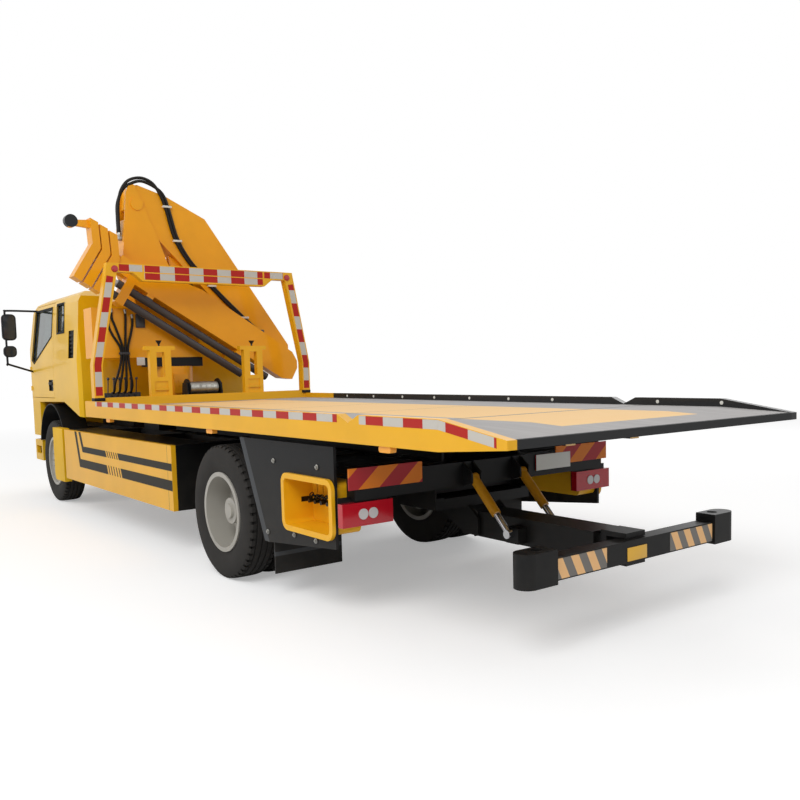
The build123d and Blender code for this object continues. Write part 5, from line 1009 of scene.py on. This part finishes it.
shape = bmesh.new()
for x, z in ((-2.385, 0.470), (-2.750, 0.500), (-3.020, 0.500), (-3.060, 0.965), (-2.50, 0.965)):
    disc(shape, (x, 1.2035, z), (0, 1, 0), 0.017, 0.008, sides=20, edge=0.002)
    disc(shape, (x, 1.2100, z), (0, 1, 0), 0.010, 0.010, sides=6, edge=0.0015)
mirrored(shape)
finish_piece("mudguard_bolts", shape, zinc_steel, "chassis")

shape = bmesh.new()
first_button_x, button_pitch = 0.265, 0.508
for index in (0, 1, 2, 3, 4, 5, 6, 8, 9):
    x = first_button_x - button_pitch * index
    disc(shape, (x, 1.1890, 1.276), (0, 1, 0), 0.013, 0.0045, sides=20, edge=0.0012)
mirrored(shape)
finish_piece("rail_buttons", shape, clip_plastic, "deck")

# %% [markdown]
# ## Chains in their baskets
# A lashing chain lies over the pegs of each basket. Its links are closed ovals of round bar, each
# a quarter turn from the one before.

# %% Chains
shape = bmesh.new()
link_pitch, half_length, half_width, wire_radius = 0.030, 0.021, 0.013, 0.0045
for index in range(15):
    middle = Vector((-3.155 + link_pitch * index, 1.055, 0.7435 + 0.004 * sin(1.9 * index)))
    wide = Vector((0, 0.75, 0.66)) if index % 2 else Vector((0, 0.66, -0.75))
    oval = [middle + Vector((half_length * cos(radians(a)), 0, 0))
            + wide * half_width * sin(radians(a)) for a in range(0, 361, 30)]
    tube(shape, oval, wire_radius, sides=6)
mirrored(shape)
finish_piece("lashing_chains", shape, chain_steel, "chassis", smooth=60)

# %% [markdown]
# ## Guard arch fittings
# A small red lamp marks each corner of the arch, and a black foot holds each post on its rail.

# %% Arch lamps and feet
shape = bmesh.new()
for side in (1, -1):
    disc(shape, (1.156, side * 0.985, 2.640), (1, 0, 0), 0.034, 0.018, sides=28, edge=0.006)
finish_piece("arch_corner_lamps", shape, red_lens, "deck")
shape = bmesh.new()
for side in (1, -1):
    low, high = sorted((side * 1.145, side * 1.2535))
    bar(shape, (1.157, low, 1.304), (1.263, high, 1.338), edge=0.006)
finish_piece("arch_feet", shape, moulded_plastic, "deck")

# %% [markdown]
# ## Rope on the winch
# Wire rope lies on the drum in close turns, one rope's width apart. It is one long helix.

# %% Winch rope
shape = bmesh.new()
rope_radius, turns, per_turn = 0.006, 26, 28
drum_x, drum_z, coil_radius, coil_start, coil_width = 1.395, 1.400, 0.0665, -0.165, 0.330
run = []
for index in range(turns * per_turn + 1):
    angle = 2 * pi * index / per_turn
    run.append(Vector((drum_x + coil_radius * cos(angle),
                       coil_start + coil_width * index / (turns * per_turn),
                       drum_z + coil_radius * sin(angle))))
tube(shape, run, rope_radius, sides=6)
finish_piece("winch_rope_turns", shape, zinc_steel, "winch", smooth=60)

# %% [markdown]
# ## Studio
# The floor is a large pale disc. Camera rays see it a little brighter than its own light, and more
# so with distance, so it fades into the white backdrop and still keeps the truck's shadow. The
# world is white to the camera, to glossy surfaces and through glass, and an even grey otherwise.

# %% Floor, world and lamps
shape = bmesh.new()
bmesh.ops.create_circle(shape, cap_ends=True, segments=96, radius=60.0)
mesh = bpy.data.meshes.new("studio_floor")
shape.to_mesh(mesh)
shape.free()
floor = bpy.data.objects.new("studio_floor", mesh)
scene.collection.objects.link(floor)
floor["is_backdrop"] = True
floor_material, tree = new_material("studio_paper")
rays = add_node(tree, "ShaderNodeLightPath")
paper = add_node(tree, "ShaderNodeBsdfDiffuse", values={"Color": (0.82, 0.82, 0.82, 1)})
place = add_node(tree, "ShaderNodeTexCoord")
away = add_node(tree, "ShaderNodeVectorMath", {"operation": "LENGTH"}, links={0: (place, "Object")})
fade = add_node(tree, "ShaderNodeMapRange",
                values={"From Min": 7.0, "From Max": 28.0, "To Min": 0.34, "To Max": 0.66},
                links={"Value": (away, "Value")})
lift = add_node(tree, "ShaderNodeEmission", values={"Color": (1, 1, 1, 1)},
                links={"Strength": (fade, "Result")})
none = add_node(tree, "ShaderNodeEmission", values={"Color": (0, 0, 0, 1), "Strength": 0.0})
seen = add_node(tree, "ShaderNodeMixShader",
                links={"Fac": (rays, "Is Camera Ray"), 1: (none, 0), 2: (lift, 0)})
total = add_node(tree, "ShaderNodeAddShader", links={0: (paper, 0), 1: (seen, 0)})
mesh.materials.append(surfaced(floor_material, total))

world = bpy.data.worlds.new("studio_world")
scene.world = world
world.use_nodes = True
tree = world.node_tree
tree.nodes.clear()
rays = add_node(tree, "ShaderNodeLightPath")
first = add_node(tree, "ShaderNodeMath", {"operation": "MAXIMUM"},
                 links={0: (rays, "Is Camera Ray"), 1: (rays, "Is Transmission Ray")})
either = add_node(tree, "ShaderNodeMath", {"operation": "MAXIMUM"},
                  links={0: (first, "Value"), 1: (rays, "Is Glossy Ray")})
soft = add_node(tree, "ShaderNodeBackground", values={"Color": (1, 1, 1, 1), "Strength": 0.5})
white = add_node(tree, "ShaderNodeBackground", values={"Color": (1, 1, 1, 1), "Strength": 1.0})
blend = add_node(tree, "ShaderNodeMixShader",
                 links={"Fac": (either, "Value"), 1: (soft, 0), 2: (white, 0)})
add_node(tree, "ShaderNodeOutputWorld", links={"Surface": (blend, 0)})

# name, place, aim, size, power
lamp_table = [
    ("key_lamp", (-9, 9, 10), (0, 0, 1), 7.0, 900.0),
    ("fill_lamp", (6, 10, 7), (1, 0, 1), 7.0, 300.0),
    ("far_lamp", (2, -11, 9), (0, 0, 1), 8.0, 300.0),
]
for name, place, aim, size, power in lamp_table:
    data = bpy.data.lights.new(name, "AREA")
    data.shape = "DISK"
    data.size = size
    data.energy = power
    lamp = bpy.data.objects.new(name, data)
    lamp.location = place
    lamp.rotation_mode = "QUATERNION"
    lamp.rotation_quaternion = (Vector(aim) - Vector(place)).to_track_quat("-Z", "Y")
    scene.collection.objects.link(lamp)

scene.view_settings.view_transform = "Standard"

# %% [markdown]
# ## Print the size
# Blender must not change the truck's size, so the box of everything shown is printed.

# %% Size and finish
low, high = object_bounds()
print("visual box", [round(v, 3) for v in low], [round(v, 3) for v in high])
